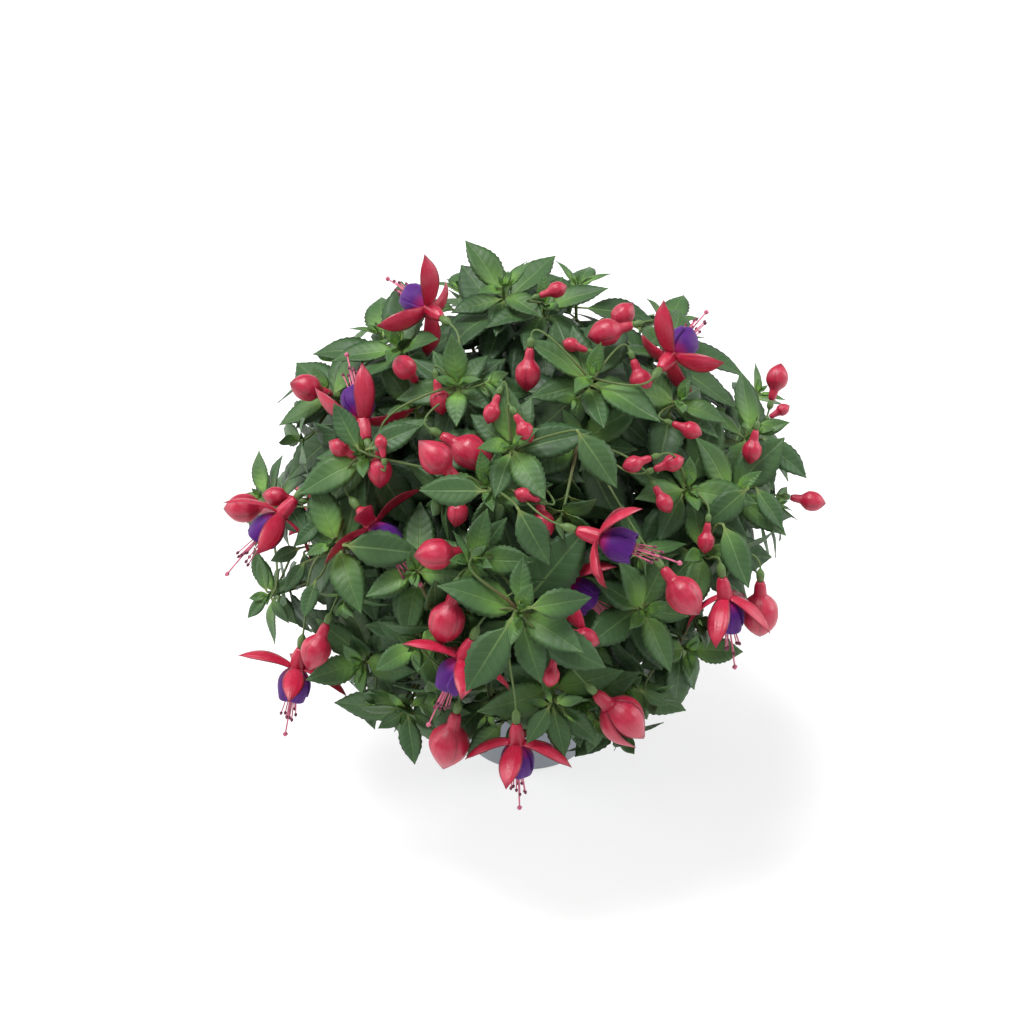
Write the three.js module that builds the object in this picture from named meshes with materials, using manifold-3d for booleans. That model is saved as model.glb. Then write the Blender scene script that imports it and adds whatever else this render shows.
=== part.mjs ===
// A bushy fuchsia with red and purple blooms, standing in a plain grey nursery pot.
// Millimetres, +Z up, origin at the middle of the pot's foot, front of the plant towards -Y.
import * as THREE from 'three';
import { mergeVertices } from 'three/addons/utils/BufferGeometryUtils.js';
import Module from 'manifold-3d';

const wasm = await Module();
wasm.setup();
const { Manifold } = wasm;

// Driving sizes
const GAP = 0.35; // between pieces that touch on the real plant
const CLEAR = 0.5; // least distance of a leaf from anything but its own root
const SEED = 7;
const POT = { height: 92, top: 50.9, base: 37, wall: 1.6, rim: 12, rimStep: 1.6, sides: 28, drains: 5 };
const SOIL = { top: 80, mound: 3, sides: 24, buried: 20 };
const DOME = { middle: 158, radius: 150, rise: 133 }; // the bush's outline, round the pot's axis
const STEM = { root: 2.4, fork: 1.5, tip: 0.85, node: 0.9, junction: 1.5, innerRing: 9, outerRing: 21 };
const LEAF = { width: 0.48, thick: 0.9, fold: 0.16, petiole: 0.8, large: 42, small: 20 };
const PEDICEL = 0.6;
const OVARY = { length: 8, radius: 2.3 };
const TUBE = { length: 12, neck: 2.4, radius: 3.9, collar: 2.2 };
const SEPAL = { length: 29, width: 11.5, thick: 0.9, arch: 58, fold: 0.2 };
const COROLLA = { length: 18, throat: 3.4, radius: 8.6, mouth: 7.6, wall: 0.9, lobe: 2.6 };
const STAMEN = { radius: 0.45, reach: 31, spread: 4.6, anther: 0.85, style: 41, disc: 1.7 };
const BUD = { length: 27, radius: 10.4 };

// The photograph's view in pixels of its 1024 frame: it turns a picked point into a place on the bush.
const VIEW = { elevation: 36, distance: 1400, focal: 2574, middle: 512, aim: [-9.2, 0, 154] };

// Leaf pairs down a shoot: distance from its tip, leaf length, rise above square to the shoot in degrees
const PAIRS = [
  { back: 2.5, length: 17, rise: 46 },
  { back: 7, length: 34, rise: 24 },
  { back: 16, length: 43, rise: 8 },
  { back: 31, length: 43, rise: -2 },
  { back: 52, length: 41, rise: -6 },
  { back: 76, length: 38, rise: -8 },
];

// How a leaf that meets something is turned aside: yaw and rise in degrees, then share of its length
const TURNS = [
  [0, 0, 1], [14, 0, 1], [-14, 0, 1], [0, 16, 1], [0, -16, 1], [14, 16, 1], [-14, 16, 1], [14, -16, 1],
  [-14, -16, 1], [28, 0, 1], [-28, 0, 1], [28, 18, 0.9], [-28, 18, 0.9], [28, -20, 0.9], [-28, -20, 0.9],
  [0, 34, 0.9], [0, -32, 0.85], [40, 0, 0.85], [-40, 0, 0.85], [20, 30, 0.8], [-20, 30, 0.8],
];

// Each stem's shoots, the first its leader. A shoot seen in the photograph has its tip's pixel, and one
// at the back its bearing round the pot and climb above the bush's middle. roll is the way its larger
// leaf pair points in the picture, and from is where along the leader a side shoot leaves it. A leader
// has five leaf pairs and a side shoot three, or the number given.
const STEMS = [
  { name: 'stem_crown', root: [180, STEM.innerRing], shoots: [
    { at: [503, 286], reach: 0.95, roll: 140 },
    { at: [545, 303], reach: 0.9, roll: 10, from: 0.55, size: 0.9 },
    { bearing: -172, climb: 50, reach: 0.9, roll: 20, from: 0.5 },
  ] },
  { name: 'stem_crown_left', root: [-90, STEM.innerRing], shoots: [
    { at: [396, 345], reach: 0.95, roll: 190 },
    { at: [411, 405], reach: 0.8, roll: 134, from: 0.45 },
    { at: [457, 383], reach: 0.97, roll: 90, from: 0.6, size: 0.75 },
  ] },
  { name: 'stem_crown_front', root: [0, STEM.innerRing], shoots: [
    { at: [511, 444], reach: 0.97, roll: 110 },
    { at: [487, 487], reach: 0.9, roll: 187, from: 0.6 },
    { at: [472, 560], reach: 0.97, roll: 80, from: 0.45, size: 0.75 },
  ] },
  { name: 'stem_crown_right', root: [90, STEM.innerRing], shoots: [
    { at: [591, 375], reach: 0.98, roll: 152, size: 1.12 },
    { at: [580, 440], reach: 0.82, roll: 30, from: 0.5 },
    { at: [680, 399], reach: 0.96, roll: 162, from: 0.42, size: 0.85 },
    { bearing: 100, climb: 55, reach: 0.9, roll: 60, from: 0.35 },
  ] },
  { name: 'stem_left', root: [-98, STEM.outerRing], shoots: [
    { at: [327, 392], reach: 0.95, roll: 40 },
    { at: [362, 454], reach: 0.98, roll: 27, from: 0.5 },
    { at: [259, 496], reach: 0.97, roll: 90, from: 0.4, size: 0.8 },
  ] },
  { name: 'stem_left_low', root: [-66, STEM.outerRing], shoots: [
    { at: [332, 545], reach: 1.0, roll: 114 },
    { at: [268, 596], reach: 0.97, roll: 94, from: 0.55, size: 0.7 },
    { at: [360, 666], reach: 0.95, roll: -75, from: 0.45, pairs: 4 },
  ] },
  { name: 'stem_front_left', root: [-34, STEM.outerRing], shoots: [
    { at: [413, 572], reach: 0.94, roll: -90, size: 0.8, pairs: 6 },
    { at: [416, 647], reach: 0.97, roll: 20, from: 0.6, size: 0.8 },
    { at: [407, 707], reach: 0.97, roll: -82, from: 0.45, size: 1.1, pairs: 4 },
    { at: [462, 612], reach: 0.78, roll: 35, from: 0.36 },
  ] },
  { name: 'stem_front', root: [-2, STEM.outerRing], shoots: [
    { at: [519, 613], reach: 1, roll: 153, size: 1.15 },
    { at: [553, 695], reach: 0.95, roll: -80, from: 0.5, size: 1.1, pairs: 4 },
    { at: [494, 696], reach: 0.86, roll: 150, from: 0.42, size: 1.1 },
    { at: [590, 645], reach: 0.82, roll: 60, from: 0.34 },
  ] },
  { name: 'stem_front_right', root: [30, STEM.outerRing], shoots: [
    { at: [646, 612], reach: 0.97, roll: 200, size: 0.9, pairs: 6 },
    { at: [625, 690], reach: 0.92, roll: -20, from: 0.45 },
    { at: [690, 652], reach: 0.95, roll: -5, from: 0.55, size: 0.85 },
    { at: [583, 706], reach: 0.96, roll: -70, from: 0.5, size: 0.75 },
    { at: [575, 585], reach: 0.72, roll: 100, from: 0.34 },
  ] },
  { name: 'stem_right', root: [66, STEM.outerRing], shoots: [
    { at: [738, 491], reach: 0.97, roll: -40 },
    { at: [756, 431], reach: 0.98, roll: 100, from: 0.55 },
    { at: [690, 488], reach: 0.92, roll: 190, from: 0.5 },
    { at: [706, 552], reach: 0.95, roll: -88, from: 0.42, size: 0.95 },
  ] },
  ...[108, 150, 194, 236].map((bearing, i) => ({
    name: `stem_back_${i + 1}`,
    root: [bearing, STEM.outerRing],
    shoots: [
      { bearing, climb: 22, reach: 0.95, roll: 35 },
      { bearing: bearing + 12, climb: 50, reach: 0.9, roll: 80, from: 0.5 },
      { bearing: bearing - 13, climb: -4, reach: 0.92, roll: 120, from: 0.42, size: 0.9 },
    ],
  })),
];

// Blooms: throat where the sepals part, aim as the way the bloom points in the picture and how far it
// leans away from the viewer, and sepals as each one's opening from the bloom's own axis, in degrees
const BLOOMS = [
  { at: [429, 309], reach: 1.02, aim: [142, 45], roll: 0, sepals: [88, 45, 80, 88] },
  { at: [671, 356], reach: 1.03, aim: [50, 40], roll: -12, sepals: [80, 92, 70, 55] },
  { at: [280, 516], reach: 1.03, aim: [228, 5], roll: 30, sepals: [60, 60, 70, 46] },
  { at: [297, 668], reach: 1.08, aim: [258, 25], roll: 24, sepals: [70, 66, 84, 92] },
  { at: [373, 526], reach: 0.92, aim: [-50, -20], roll: 30, sepals: [85, 90, 84, 88] },
  { at: [362, 420], reach: 0.97, aim: [105, 30], roll: 12, sepals: [34, 76, 80, 42] },
  { at: [462, 659], reach: 1.02, aim: [244, 22], roll: 22, sepals: [84, 60, 74, 78] },
  { at: [517, 743], reach: 1.08, aim: [-88, 30], roll: 8, sepals: [60, 64, 76, 62] },
  { at: [600, 538], reach: 1.05, aim: [-18, -6], roll: 0, sepals: [54, 74, 70, 70] },
  { at: [565, 583], reach: 0.83, aim: [-36, 10], roll: 0, sepals: [62, 44, 80, 80] },
  { at: [725, 598], reach: 1.04, aim: [-80, 26], roll: 0, sepals: [50, 42, 62, 46] },
  { bearing: 150, climb: -10, reach: 1.05, droop: 62, roll: 20, sepals: [80, 84, 78, 82] },
  { bearing: 200, climb: -4, reach: 1.03, droop: 40, roll: 0, sepals: [84, 80, 86, 82] },
  { bearing: 236, climb: -24, reach: 1.05, droop: 70, roll: 50, sepals: [76, 82, 80, 85] },
];

// Buds: middle of the swollen part, size beside a full balloon bud, and aim as for a bloom
const BUDS = [
  { at: [245, 508], reach: 1.04, aim: [182, 5], size: 0.74 },
  { at: [308, 388], reach: 1.03, aim: [165, -25], size: 0.66 },
  { at: [405, 368], reach: 1.02, aim: [130, -45], size: 0.56 },
  { at: [436, 458], reach: 1.0, aim: [135, -10], size: 0.78 },
  { at: [437, 554], reach: 1.0, aim: [184, -15], size: 0.74 },
  { at: [447, 620], reach: 0.99, aim: [-105, 20], size: 0.86 },
  { at: [316, 650], reach: 1.05, aim: [-112, 10], size: 0.74 },
  { at: [449, 744], reach: 1.07, aim: [-103, 28], size: 1.0 },
  { at: [622, 718], reach: 1.05, aim: [-44, 20], size: 1.05 },
  { at: [683, 594], reach: 1.06, aim: [-52, 0], size: 0.82 },
  { at: [607, 332], reach: 1.0, aim: [195, 0], size: 0.66 },
  { at: [777, 379], reach: 1.04, aim: [75, 5], size: 0.56 },
  { at: [811, 501], reach: 1.08, aim: [-10, 0], size: 0.5 },
  { at: [760, 612], reach: 1.07, aim: [-88, 25], size: 0.9 },
  { bearing: 176, climb: 0, reach: 1.04, droop: 55, size: 0.8 },
  { bearing: 218, climb: -12, reach: 1.05, droop: 50, size: 0.9 },
];

const Z = new THREE.Vector3(0, 0, 1);
const { degToRad: rad, lerp } = THREE.MathUtils;
const vec = (a) => new THREE.Vector3(...a);
const square = (v, axis) => v.clone().addScaledVector(axis, -v.dot(axis)).normalize();

// A seeded number from 0 to 1 for one use of one leaf
function draw(leaf, use) {
  const x = Math.sin(leaf * 12.9898 + use * 78.233 + SEED) * 43758.5453;
  return x - Math.floor(x);
}

// The picture's axes: to the right, up and into it
const tilt = rad(VIEW.elevation);
const RIGHT = vec([1, 0, 0]);
const UP = vec([0, Math.sin(tilt), Math.cos(tilt)]);
const INTO = vec([0, Math.cos(tilt), -Math.sin(tilt)]);
const EYE = vec(VIEW.aim).addScaledVector(INTO, -VIEW.distance);
const AXES = vec([DOME.radius, DOME.radius, DOME.rise]);
const MIDDLE = vec([0, 0, DOME.middle]);

// Where a pixel's sight line first meets the bush's outline, drawn to a share of its size
function onDome([px, py], reach) {
  const ray = INTO.clone()
    .addScaledVector(RIGHT, (px - VIEW.middle) / VIEW.focal)
    .addScaledVector(UP, (VIEW.middle - py) / VIEW.focal);
  const o = EYE.clone().sub(MIDDLE).divide(AXES).divideScalar(reach);
  const v = ray.clone().divide(AXES).divideScalar(reach);
  const [a, b, c] = [v.dot(v), o.dot(v), o.dot(o) - 1];
  const depth = (-b - Math.sqrt(Math.max(b * b - a * c, 0))) / a;
  return EYE.clone().addScaledVector(ray, depth);
}

function byBearing(bearing, climb, reach) {
  const [b, c] = [rad(bearing), rad(climb)];
  return vec([Math.sin(b) * Math.cos(c), -Math.cos(b) * Math.cos(c), Math.sin(c)])
    .multiply(AXES).multiplyScalar(reach).add(MIDDLE);
}

const place = (p) => (p.at ? onDome(p.at, p.reach) : byBearing(p.bearing, p.climb, p.reach));

// Square to the outline at a point near it
const outward = (p) => p.clone().sub(MIDDLE).divide(AXES).divide(AXES).normalize();

function inPicture(angle, away) {
  const [a, w] = [rad(angle), rad(away)];
  return RIGHT.clone().multiplyScalar(Math.cos(a) * Math.cos(w))
    .addScaledVector(UP, Math.sin(a) * Math.cos(w))
    .addScaledVector(INTO, Math.sin(w));
}

function pointing(p) {
  if (p.aim) return inPicture(...p.aim);
  const [b, d] = [rad(p.bearing), rad(p.droop)];
  return vec([Math.sin(b) * Math.cos(d), -Math.cos(b) * Math.cos(d), -Math.sin(d)]);
}

// A closed surface grown ring by ring, each ring anticlockwise seen from its far side
class Skin {
  points = [];
  faces = [];

  ring(points) {
    return points.map((p) => this.points.push(p) - 1);
  }

  // Joins two rings, split alike on both faces of a blade. A side in open is left for a limb.
  band(a, b, open = []) {
    a.forEach((_, s) => {
      const n = (s + 1) % a.length;
      if (open.includes(s)) return;
      if (s % 2) this.faces.push(a[s], a[n], b[s], a[n], b[n], b[s]);
      else this.faces.push(a[s], a[n], b[n], a[s], b[n], b[s]);
    });
    return b;
  }

  close(ring) {
    for (let s = 1; s + 1 < ring.length; s++) this.faces.push(ring[0], ring[s], ring[s + 1]);
  }

  point(ring, tip) {
    const [t] = this.ring([tip]);
    ring.forEach((v, s) => this.faces.push(v, ring[(s + 1) % ring.length], t));
  }

  // The corners of a hole, turned to suit the first ring of the limb that leaves through it
  turn(corners, first) {
    const turned = corners.map((_, k) => corners.map((__, i) => corners[(i + k) % corners.length]));
    const stretch = (list) => list.reduce((sum, v, i) => sum + this.points[v].distanceTo(first[i]), 0);
    return turned.reduce((best, list) => (stretch(list) < stretch(best) ? list : best));
  }

  limb(corners, { rings, tip }) {
    const hole = rings.length ? this.turn(corners, rings[0]) : corners;
    const last = rings.reduce((under, r) => this.band(under, this.ring(r)), hole);
    if (tip) this.point(last, tip);
    else this.close(last);
  }

  geometry() {
    return new THREE.BufferGeometry().setFromPoints(this.points).setIndex(this.faces);
  }
}

const cornersOf = (a, b, s) => [a[s], a[(s + 1) % a.length], b[(s + 1) % a.length], b[s]];

// The closed body of a three.js geometry
function solid(geometry) {
  const bare = geometry.clone();
  bare.deleteAttribute('normal');
  bare.deleteAttribute('uv');
  const { attributes, index } = mergeVertices(bare, 1e-4);
  const triVerts = new Uint32Array(index.array);
  return new Manifold(new wasm.Mesh({ numProp: 3, vertProperties: attributes.position.array, triVerts }));
}

function loft(rings, tip) {
  const skin = new Skin();
  const first = skin.ring(rings[0]);
  skin.close([...first].reverse());
  skin.limb(first, { rings: rings.slice(1), tip });
  return solid(skin.geometry());
}

function fromSolid(made) {
  const { vertProperties, triVerts } = made.getMesh();
  return new THREE.BufferGeometry()
    .setAttribute('position', new THREE.BufferAttribute(vertProperties, 3))
    .setIndex(new THREE.BufferAttribute(triVerts, 1));
}

// A ring whose first side faces the way of across
function ring(middle, axis, across, sides, radius, ripple = 0) {
  const other = axis.clone().cross(across);
  return Array.from({ length: sides }, (_, k) => {
    const a = 2 * Math.PI * (k - 0.5) / sides;
    const r = radius * (1 + ripple * (k % 2 ? -1 : 1));
    return middle.clone().addScaledVector(across, r * Math.cos(a)).addScaledVector(other, r * Math.sin(a));
  });
}

// Rings round a straight axis from a profile of [distance along it, radius, ripple]
const turned = (origin, axis, across, sides, profile) => profile.map(([s, radius, ripple]) =>
  ring(origin.clone().addScaledVector(axis, s), axis, across, sides, radius, ripple));

// Each shoot is a cubic curve that ends square to the bush's outline, turned up to the light, and on
// the near side also towards the viewer, as the plant was grown to be seen
function growCurve(start, heading, tip, seen) {
  const reach = start.distanceTo(tip);
  const ending = outward(tip).addScaledVector(Z, seen ? 0.2 : 0.5);
  if (seen) ending.addScaledVector(INTO, -0.85);
  ending.normalize();
  return new THREE.CubicBezierCurve3(start, start.clone().addScaledVector(heading, 0.42 * reach),
    tip.clone().addScaledVector(ending, -0.34 * reach), tip);
}

const shoots = [];
for (const stem of STEMS) {
  let leader = null;
  for (const spec of stem.shoots) {
    const tip = place(spec);
    let start;
    let heading;
    if (leader) {
      start = leader.curve.getPoint(spec.from);
      heading = leader.curve.getTangent(spec.from).multiplyScalar(0.8)
        .add(tip.clone().sub(start).normalize()).normalize();
    } else {
      const [bearing, radius] = stem.root;
      const away = vec([Math.sin(rad(bearing)), -Math.cos(rad(bearing)), 0]);
      start = away.clone().multiplyScalar(radius).setZ(SOIL.top - SOIL.buried);
      heading = Z.clone().addScaledVector(away, radius / 60).normalize();
    }
    const curve = growCurve(start, heading, tip, Boolean(spec.at));
    const length = start.distanceTo(tip) * 1.06;
    const made = { id: shoots.length, stem: stem.name, leader, curve, length, limbs: [] };
    const shoot = { size: 1, pairs: leader ? 3 : 5, ...spec, ...made };
    leader ??= shoot;
    shoots.push(shoot);
  }
}

// A shoot's rings are square, one side facing each way that its leaf pairs take. A node is a short band
// between two rings: a leaf pair's, or the one where a side shoot leaves.
for (const shoot of shoots) {
  const { curve, length, size } = shoot;
  const along = curve.getTangent(1);
  const seen = inPicture(shoot.roll, 0);
  const lean = THREE.MathUtils.clamp(-seen.dot(along) / INTO.dot(along), -1.2, 1.2);
  const [half, wide] = [STEM.node / length, STEM.junction / length];
  const pairNodes = PAIRS.slice(0, shoot.pairs).map(({ back }) => 1 - Math.max(back * size, 2) / length);
  const forks = shoots.filter((s) => s.leader === shoot);
  const shares = [
    ...(shoot.leader ? [4 / length] : [0, 0.32]), 1,
    ...pairNodes.flatMap((t) => [t - half, t + half]),
    ...forks.flatMap(({ from }) => [from - wide, from + wide]),
  ];
  let zero = seen.addScaledVector(INTO, lean);
  shoot.rings = shares.sort((a, b) => b - a).map((t) => {
    const [middle, axis] = [curve.getPoint(t), curve.getTangent(t)];
    zero = square(zero, axis);
    const radius = lerp(shoot.leader ? STEM.fork : STEM.root, STEM.tip, t);
    return { t, middle, axis, zero, radius, points: ring(middle, axis, zero, 4, radius) };
  }).reverse();
  const bandAt = (t) => shoot.rings.findLastIndex((r) => r.t < t);
  shoot.nodes = pairNodes.map(bandAt);
  forks.forEach((fork) => { fork.band = bandAt(fork.from); });
}

// One side of a node's band: its corners, its middle and the way it faces
function socket(shoot, band, side) {
  const [a, b] = [shoot.rings[band], shoot.rings[band + 1]];
  const corners = cornersOf(a.points, b.points, side);
  const out = a.zero.clone().applyAxisAngle(a.axis, Math.PI / 2 * side);
  const middle = corners.reduce((sum, p) => sum.add(p), vec([0, 0, 0])).divideScalar(4);
  return { corners, out, middle, axis: a.axis };
}

const isTaken = (shoot, band, side) => shoot.limbs.some((l) => l.band === band && l.side === side);

// What has been placed. A limb keeps clear of all of it, and with its root left out also of its kin,
// which are the wood it grows from and the other limbs of its shoot.
const placed = [];
function remember(whole, free = whole, kin = null) {
  placed.push({ whole, free, kin, box: whole.boundingBox() });
  return whole;
}

function isClear(whole, free, kin) {
  const { min, max } = whole.boundingBox();
  return placed.every((p) => {
    if ([0, 1, 2].some((i) => p.box.min[i] > max[i] + CLEAR || p.box.max[i] < min[i] - CLEAR)) return true;
    const [a, b] = p.kin === kin ? [free, p.free] : [whole, p.whole];
    return a.minGap(b, 2 * CLEAR) >= CLEAR;
  });
}

// The pot: a tapered wall under a wider rim band, with drain holes in its foot
function makePot() {
  const { height, top, base, wall, rim, rimStep } = POT;
  const band = lerp(base, top, 1 - rim / height);
  const profile = [[0, 0], [base, 0], [band, height - rim], [band + rimStep, height - rim + 1],
    [top + rimStep, height], [top - wall, height], [base - wall, wall], [0, wall]];
  const shell = solid(new THREE.LatheGeometry(profile.map((p) => new THREE.Vector2(...p)), POT.sides)
    .rotateX(Math.PI / 2));
  const drains = Array.from({ length: POT.drains }, (_, i) => {
    const a = 2 * Math.PI * (i + 0.5) / POT.drains;
    return solid(new THREE.CylinderGeometry(3.5, 3.5, 4 * wall, 6).rotateX(Math.PI / 2)
      .translate(0.68 * base * Math.cos(a), 0.68 * base * Math.sin(a), 0));
  });
  return shell.subtract(Manifold.union(drains));
}

// The compost: a slightly mounded plug with a hole for each stem
function makeSoil() {
  const { base, top: rimRadius, height, wall } = POT;
  const inner = (z) => lerp(base - wall, rimRadius - wall, (z - wall) / (height - wall)) - 1.3 * GAP;
  const { top, mound } = SOIL;
  const [foot, crest] = [wall + GAP, top + mound];
  const profile = [[0, foot], [inner(foot), foot], [inner(top), top], [0.4 * base, crest], [0, crest]];
  const plug = solid(new THREE.LatheGeometry(profile.map((p) => new THREE.Vector2(...p)), SOIL.sides)
    .rotateX(Math.PI / 2));
  const holes = shoots.filter((s) => !s.leader).map(({ rings: [low, high] }) => {
    const wider = ({ middle, axis, zero, radius }) => ring(middle, axis, zero, 4, radius + 1.5 * GAP);
    const down = low.axis.clone().multiplyScalar(-GAP);
    return loft([wider(low).map((p) => p.add(down)), wider(high)]);
  });
  return plug.subtract(Manifold.union(holes));
}

const pot = remember(makePot());
const soil = remember(makeSoil());
for (const shoot of shoots) {
  const wood = loft(shoot.rings.map((r) => r.points));
  remember(wood, wood, shoot);
}

// The thin stalk and the green ovary at its end, from one side of a node
function growStalk({ start, axis, ovary }, { shoot, band, side }) {
  const { middle, out, corners } = socket(shoot, band, side);
  const aside = start.clone().sub(middle);
  const reach = aside.length();
  const leave = out.clone().addScaledVector(Z, 0.3).normalize();
  const curve = new THREE.CubicBezierCurve3(middle, middle.clone().addScaledVector(leave, 0.35 * reach),
    start.clone().addScaledVector(axis, -0.4 * reach), start);
  let across = corners[0].clone().add(corners[1]).sub(middle).sub(middle);
  const rings = [0.25, 0.62, 1].map((t) => {
    const along = curve.getTangent(t);
    across = square(across, along);
    return ring(curve.getPoint(t), along, across, 4, PEDICEL);
  });
  rings.push(...turned(start, axis, square(across, axis), 4, [
    [0.5 * ovary.length, ovary.radius], [ovary.length, ovary.radius * 0.85]]));
  const cost = 1.6 * reach - 0.6 * out.dot(aside) - 0.7 * axis.dot(aside);
  return { shoot, band, side, corners, rings, cost };
}

// A stalk leaves the nearest free side of a node from which it is clear of everything. Its ovary ends a
// gap short of the bloom, so the ovary's last ring is left out of the test.
function stalk(flower) {
  const grown = shoots.flatMap((shoot) => shoot.nodes.flatMap((band, pair) => [1, 3].map((k) => {
    const side = (k + pair + shoot.pairs) % 4;
    return growStalk(flower, { shoot, band, side });
  }))).sort((a, b) => a.cost - b.cost);
  const suits = ({ shoot, band, side, corners, rings }) => {
    const short = rings.slice(0, -1);
    return !isTaken(shoot, band, side) && isClear(loft([corners, ...short]), loft(short), shoot);
  };
  const { shoot, corners, rings, ...where } = grown.find(suits) ?? grown[0];
  remember(loft([corners, ...rings]), loft(rings), shoot);
  shoot.limbs.push({ ...where, rings });
}

// Across a blade: one edge, its underside, the other edge and its upper side, folded up from the midrib
function bladeRing(middle, side, face, w, thick, fold) {
  const edge = middle.clone().addScaledVector(face, fold * w);
  return [edge.clone().addScaledVector(side, w), middle.clone().addScaledVector(face, -thick / 2),
    edge.clone().addScaledVector(side, -w), middle.clone().addScaledVector(face, thick / 2)];
}

// A sepal opens from the collar on a round arch about its own opening
function sepal(middle, axis, out, opening) {
  const side = out.clone().cross(axis);
  const first = rad(opening + 0.45 * SEPAL.arch);
  const turn = (t) => first - rad(SEPAL.arch) * t;
  const arc = SEPAL.length / rad(SEPAL.arch);
  const pathAt = (t) => middle.clone()
    .addScaledVector(out, arc * (Math.cos(turn(t)) - Math.cos(first)))
    .addScaledVector(axis, arc * (Math.sin(first) - Math.sin(turn(t))));
  const rings = [[0.2, 0.8], [0.5, 1], [0.78, 0.68]].map(([t, share]) => {
    const face = axis.clone().multiplyScalar(Math.sin(turn(t))).addScaledVector(out, -Math.cos(turn(t)));
    return bladeRing(pathAt(t), side, face, share * SEPAL.width / 2, SEPAL.thick, SEPAL.fold);
  });
  return { rings, tip: pathAt(1) };
}

// Red tube with four sepals on its collar. Out of its mouth four filaments leave close together and fan
// out beyond the corolla, with the longer style among them.
function makeCalyx(throat, axis, across, openings) {
  const { length, neck, radius, collar } = TUBE;
  const skin = new Skin();
  const profile = [[-length, neck], [-0.55 * length, radius * 0.95], [-collar, radius], [0, radius],
    [0, STAMEN.disc]];
  const [foot, belly, low, high, disc] = turned(throat, axis, across, 8, profile).map((r) => skin.ring(r));
  skin.close([...foot].reverse());
  skin.band(foot, belly);
  skin.band(belly, low);
  skin.band(low, high, [0, 2, 4, 6]);
  skin.band(high, disc);
  const facing = (s) => across.clone().applyAxisAngle(axis, Math.PI / 4 * s);
  openings.forEach((opening, k) => {
    const out = facing(2 * k);
    const middle = throat.clone().addScaledVector(axis, -collar / 2).addScaledVector(out, 0.92 * radius);
    skin.limb(cornersOf(low, high, 2 * k), sepal(middle, axis, out, opening));
  });
  const { reach, spread, style } = STAMEN;
  const threads = {
    0: [reach, spread],
    2: [style, 1],
    3: [0.92 * reach, spread],
    5: [0.96 * reach, spread],
  };
  const [hub] = skin.ring([throat.clone()]);
  disc.forEach((v, s) => {
    const corners = [v, disc[(s + 1) % 8], hub];
    if (!threads[s]) {
      skin.close(corners);
      return;
    }
    const [far, aside] = threads[s];
    const at = (along, off) => throat.clone().addScaledVector(axis, along).addScaledVector(facing(s), off);
    const rings = [[at(3, 1.1), STAMEN.radius], [at(far - 3, aside), STAMEN.anther]]
      .map(([middle, r]) => ring(middle, axis, facing(s), 3, r));
    skin.limb(corners, { rings, tip: at(far, aside) });
  });
  return skin.geometry();
}

// The corolla: four overlapping petals as one flaring cup with a lobed mouth, open round the filaments
function makeCorolla(throat, axis, across) {
  const { length, throat: neck, radius, mouth, wall, lobe } = COROLLA;
  const rings = turned(throat, axis, across, 8, [[GAP, neck], [0.42 * length, radius, 0.06],
    [length - lobe, mouth, 0.1], [GAP, neck - wall]]);
  rings[2].forEach((p, k) => { if (k % 2 === 0) p.addScaledVector(axis, lobe); });
  const skin = new Skin();
  const indices = rings.map((r) => skin.ring(r));
  indices.forEach((r, i) => skin.band(r, indices[(i + 1) % indices.length]));
  return skin.geometry();
}

const flowers = [];
const blooms = BLOOMS.flatMap((spec, i) => {
  const throat = place(spec);
  const axis = pointing(spec);
  const across = square(Math.abs(axis.z) < 0.9 ? Z : UP, axis).applyAxisAngle(axis, rad(spec.roll));
  const calyx = makeCalyx(throat, axis, across, spec.sepals);
  const corolla = makeCorolla(throat, axis, across);
  remember(solid(calyx));
  remember(solid(corolla));
  const start = throat.clone().addScaledVector(axis, -TUBE.length - OVARY.length - GAP);
  flowers.push({ start, axis, ovary: OVARY });
  const number = String(i + 1).padStart(2, '0');
  return [[`bloom_${number}_calyx`, calyx, 'calyx'], [`bloom_${number}_corolla`, corolla, 'corolla']];
});

// A balloon bud: tube, then four sepals still joined in a ribbed, pointed swelling
const buds = BUDS.map((spec, i) => {
  const axis = pointing(spec);
  const across = square(Math.abs(axis.z) < 0.9 ? Z : UP, axis);
  const { size } = spec;
  const [long, wide] = [BUD.length * size, BUD.radius * size];
  const neck = TUBE.length * lerp(0.2, 0.65, size);
  const thin = lerp(1.7, TUBE.radius * 0.9, size);
  const start = place(spec).addScaledVector(axis, -0.42 * long - neck);
  const skin = new Skin();
  const profile = [[0, thin * 0.7], [neck, thin], [neck + 0.29 * long, wide, 0.04],
    [neck + 0.63 * long, wide * 0.84, 0.05]];
  const rings = turned(start, axis, across, 8, profile).map((r) => skin.ring(r));
  skin.close([...rings[0]].reverse());
  rings.slice(1).forEach((upper, k) => skin.band(rings[k], upper));
  skin.point(rings.at(-1), start.clone().addScaledVector(axis, neck + long));
  remember(solid(skin.geometry()));
  const ovary = { length: OVARY.length * lerp(0.3, 0.9, size), radius: OVARY.radius * lerp(0.5, 1, size) };
  flowers.push({ start: start.addScaledVector(axis, -ovary.length - GAP), axis, ovary });
  return [`bud_${String(i + 1).padStart(2, '0')}`, skin.geometry(), 'calyx'];
});

flowers.forEach(stalk);

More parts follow.
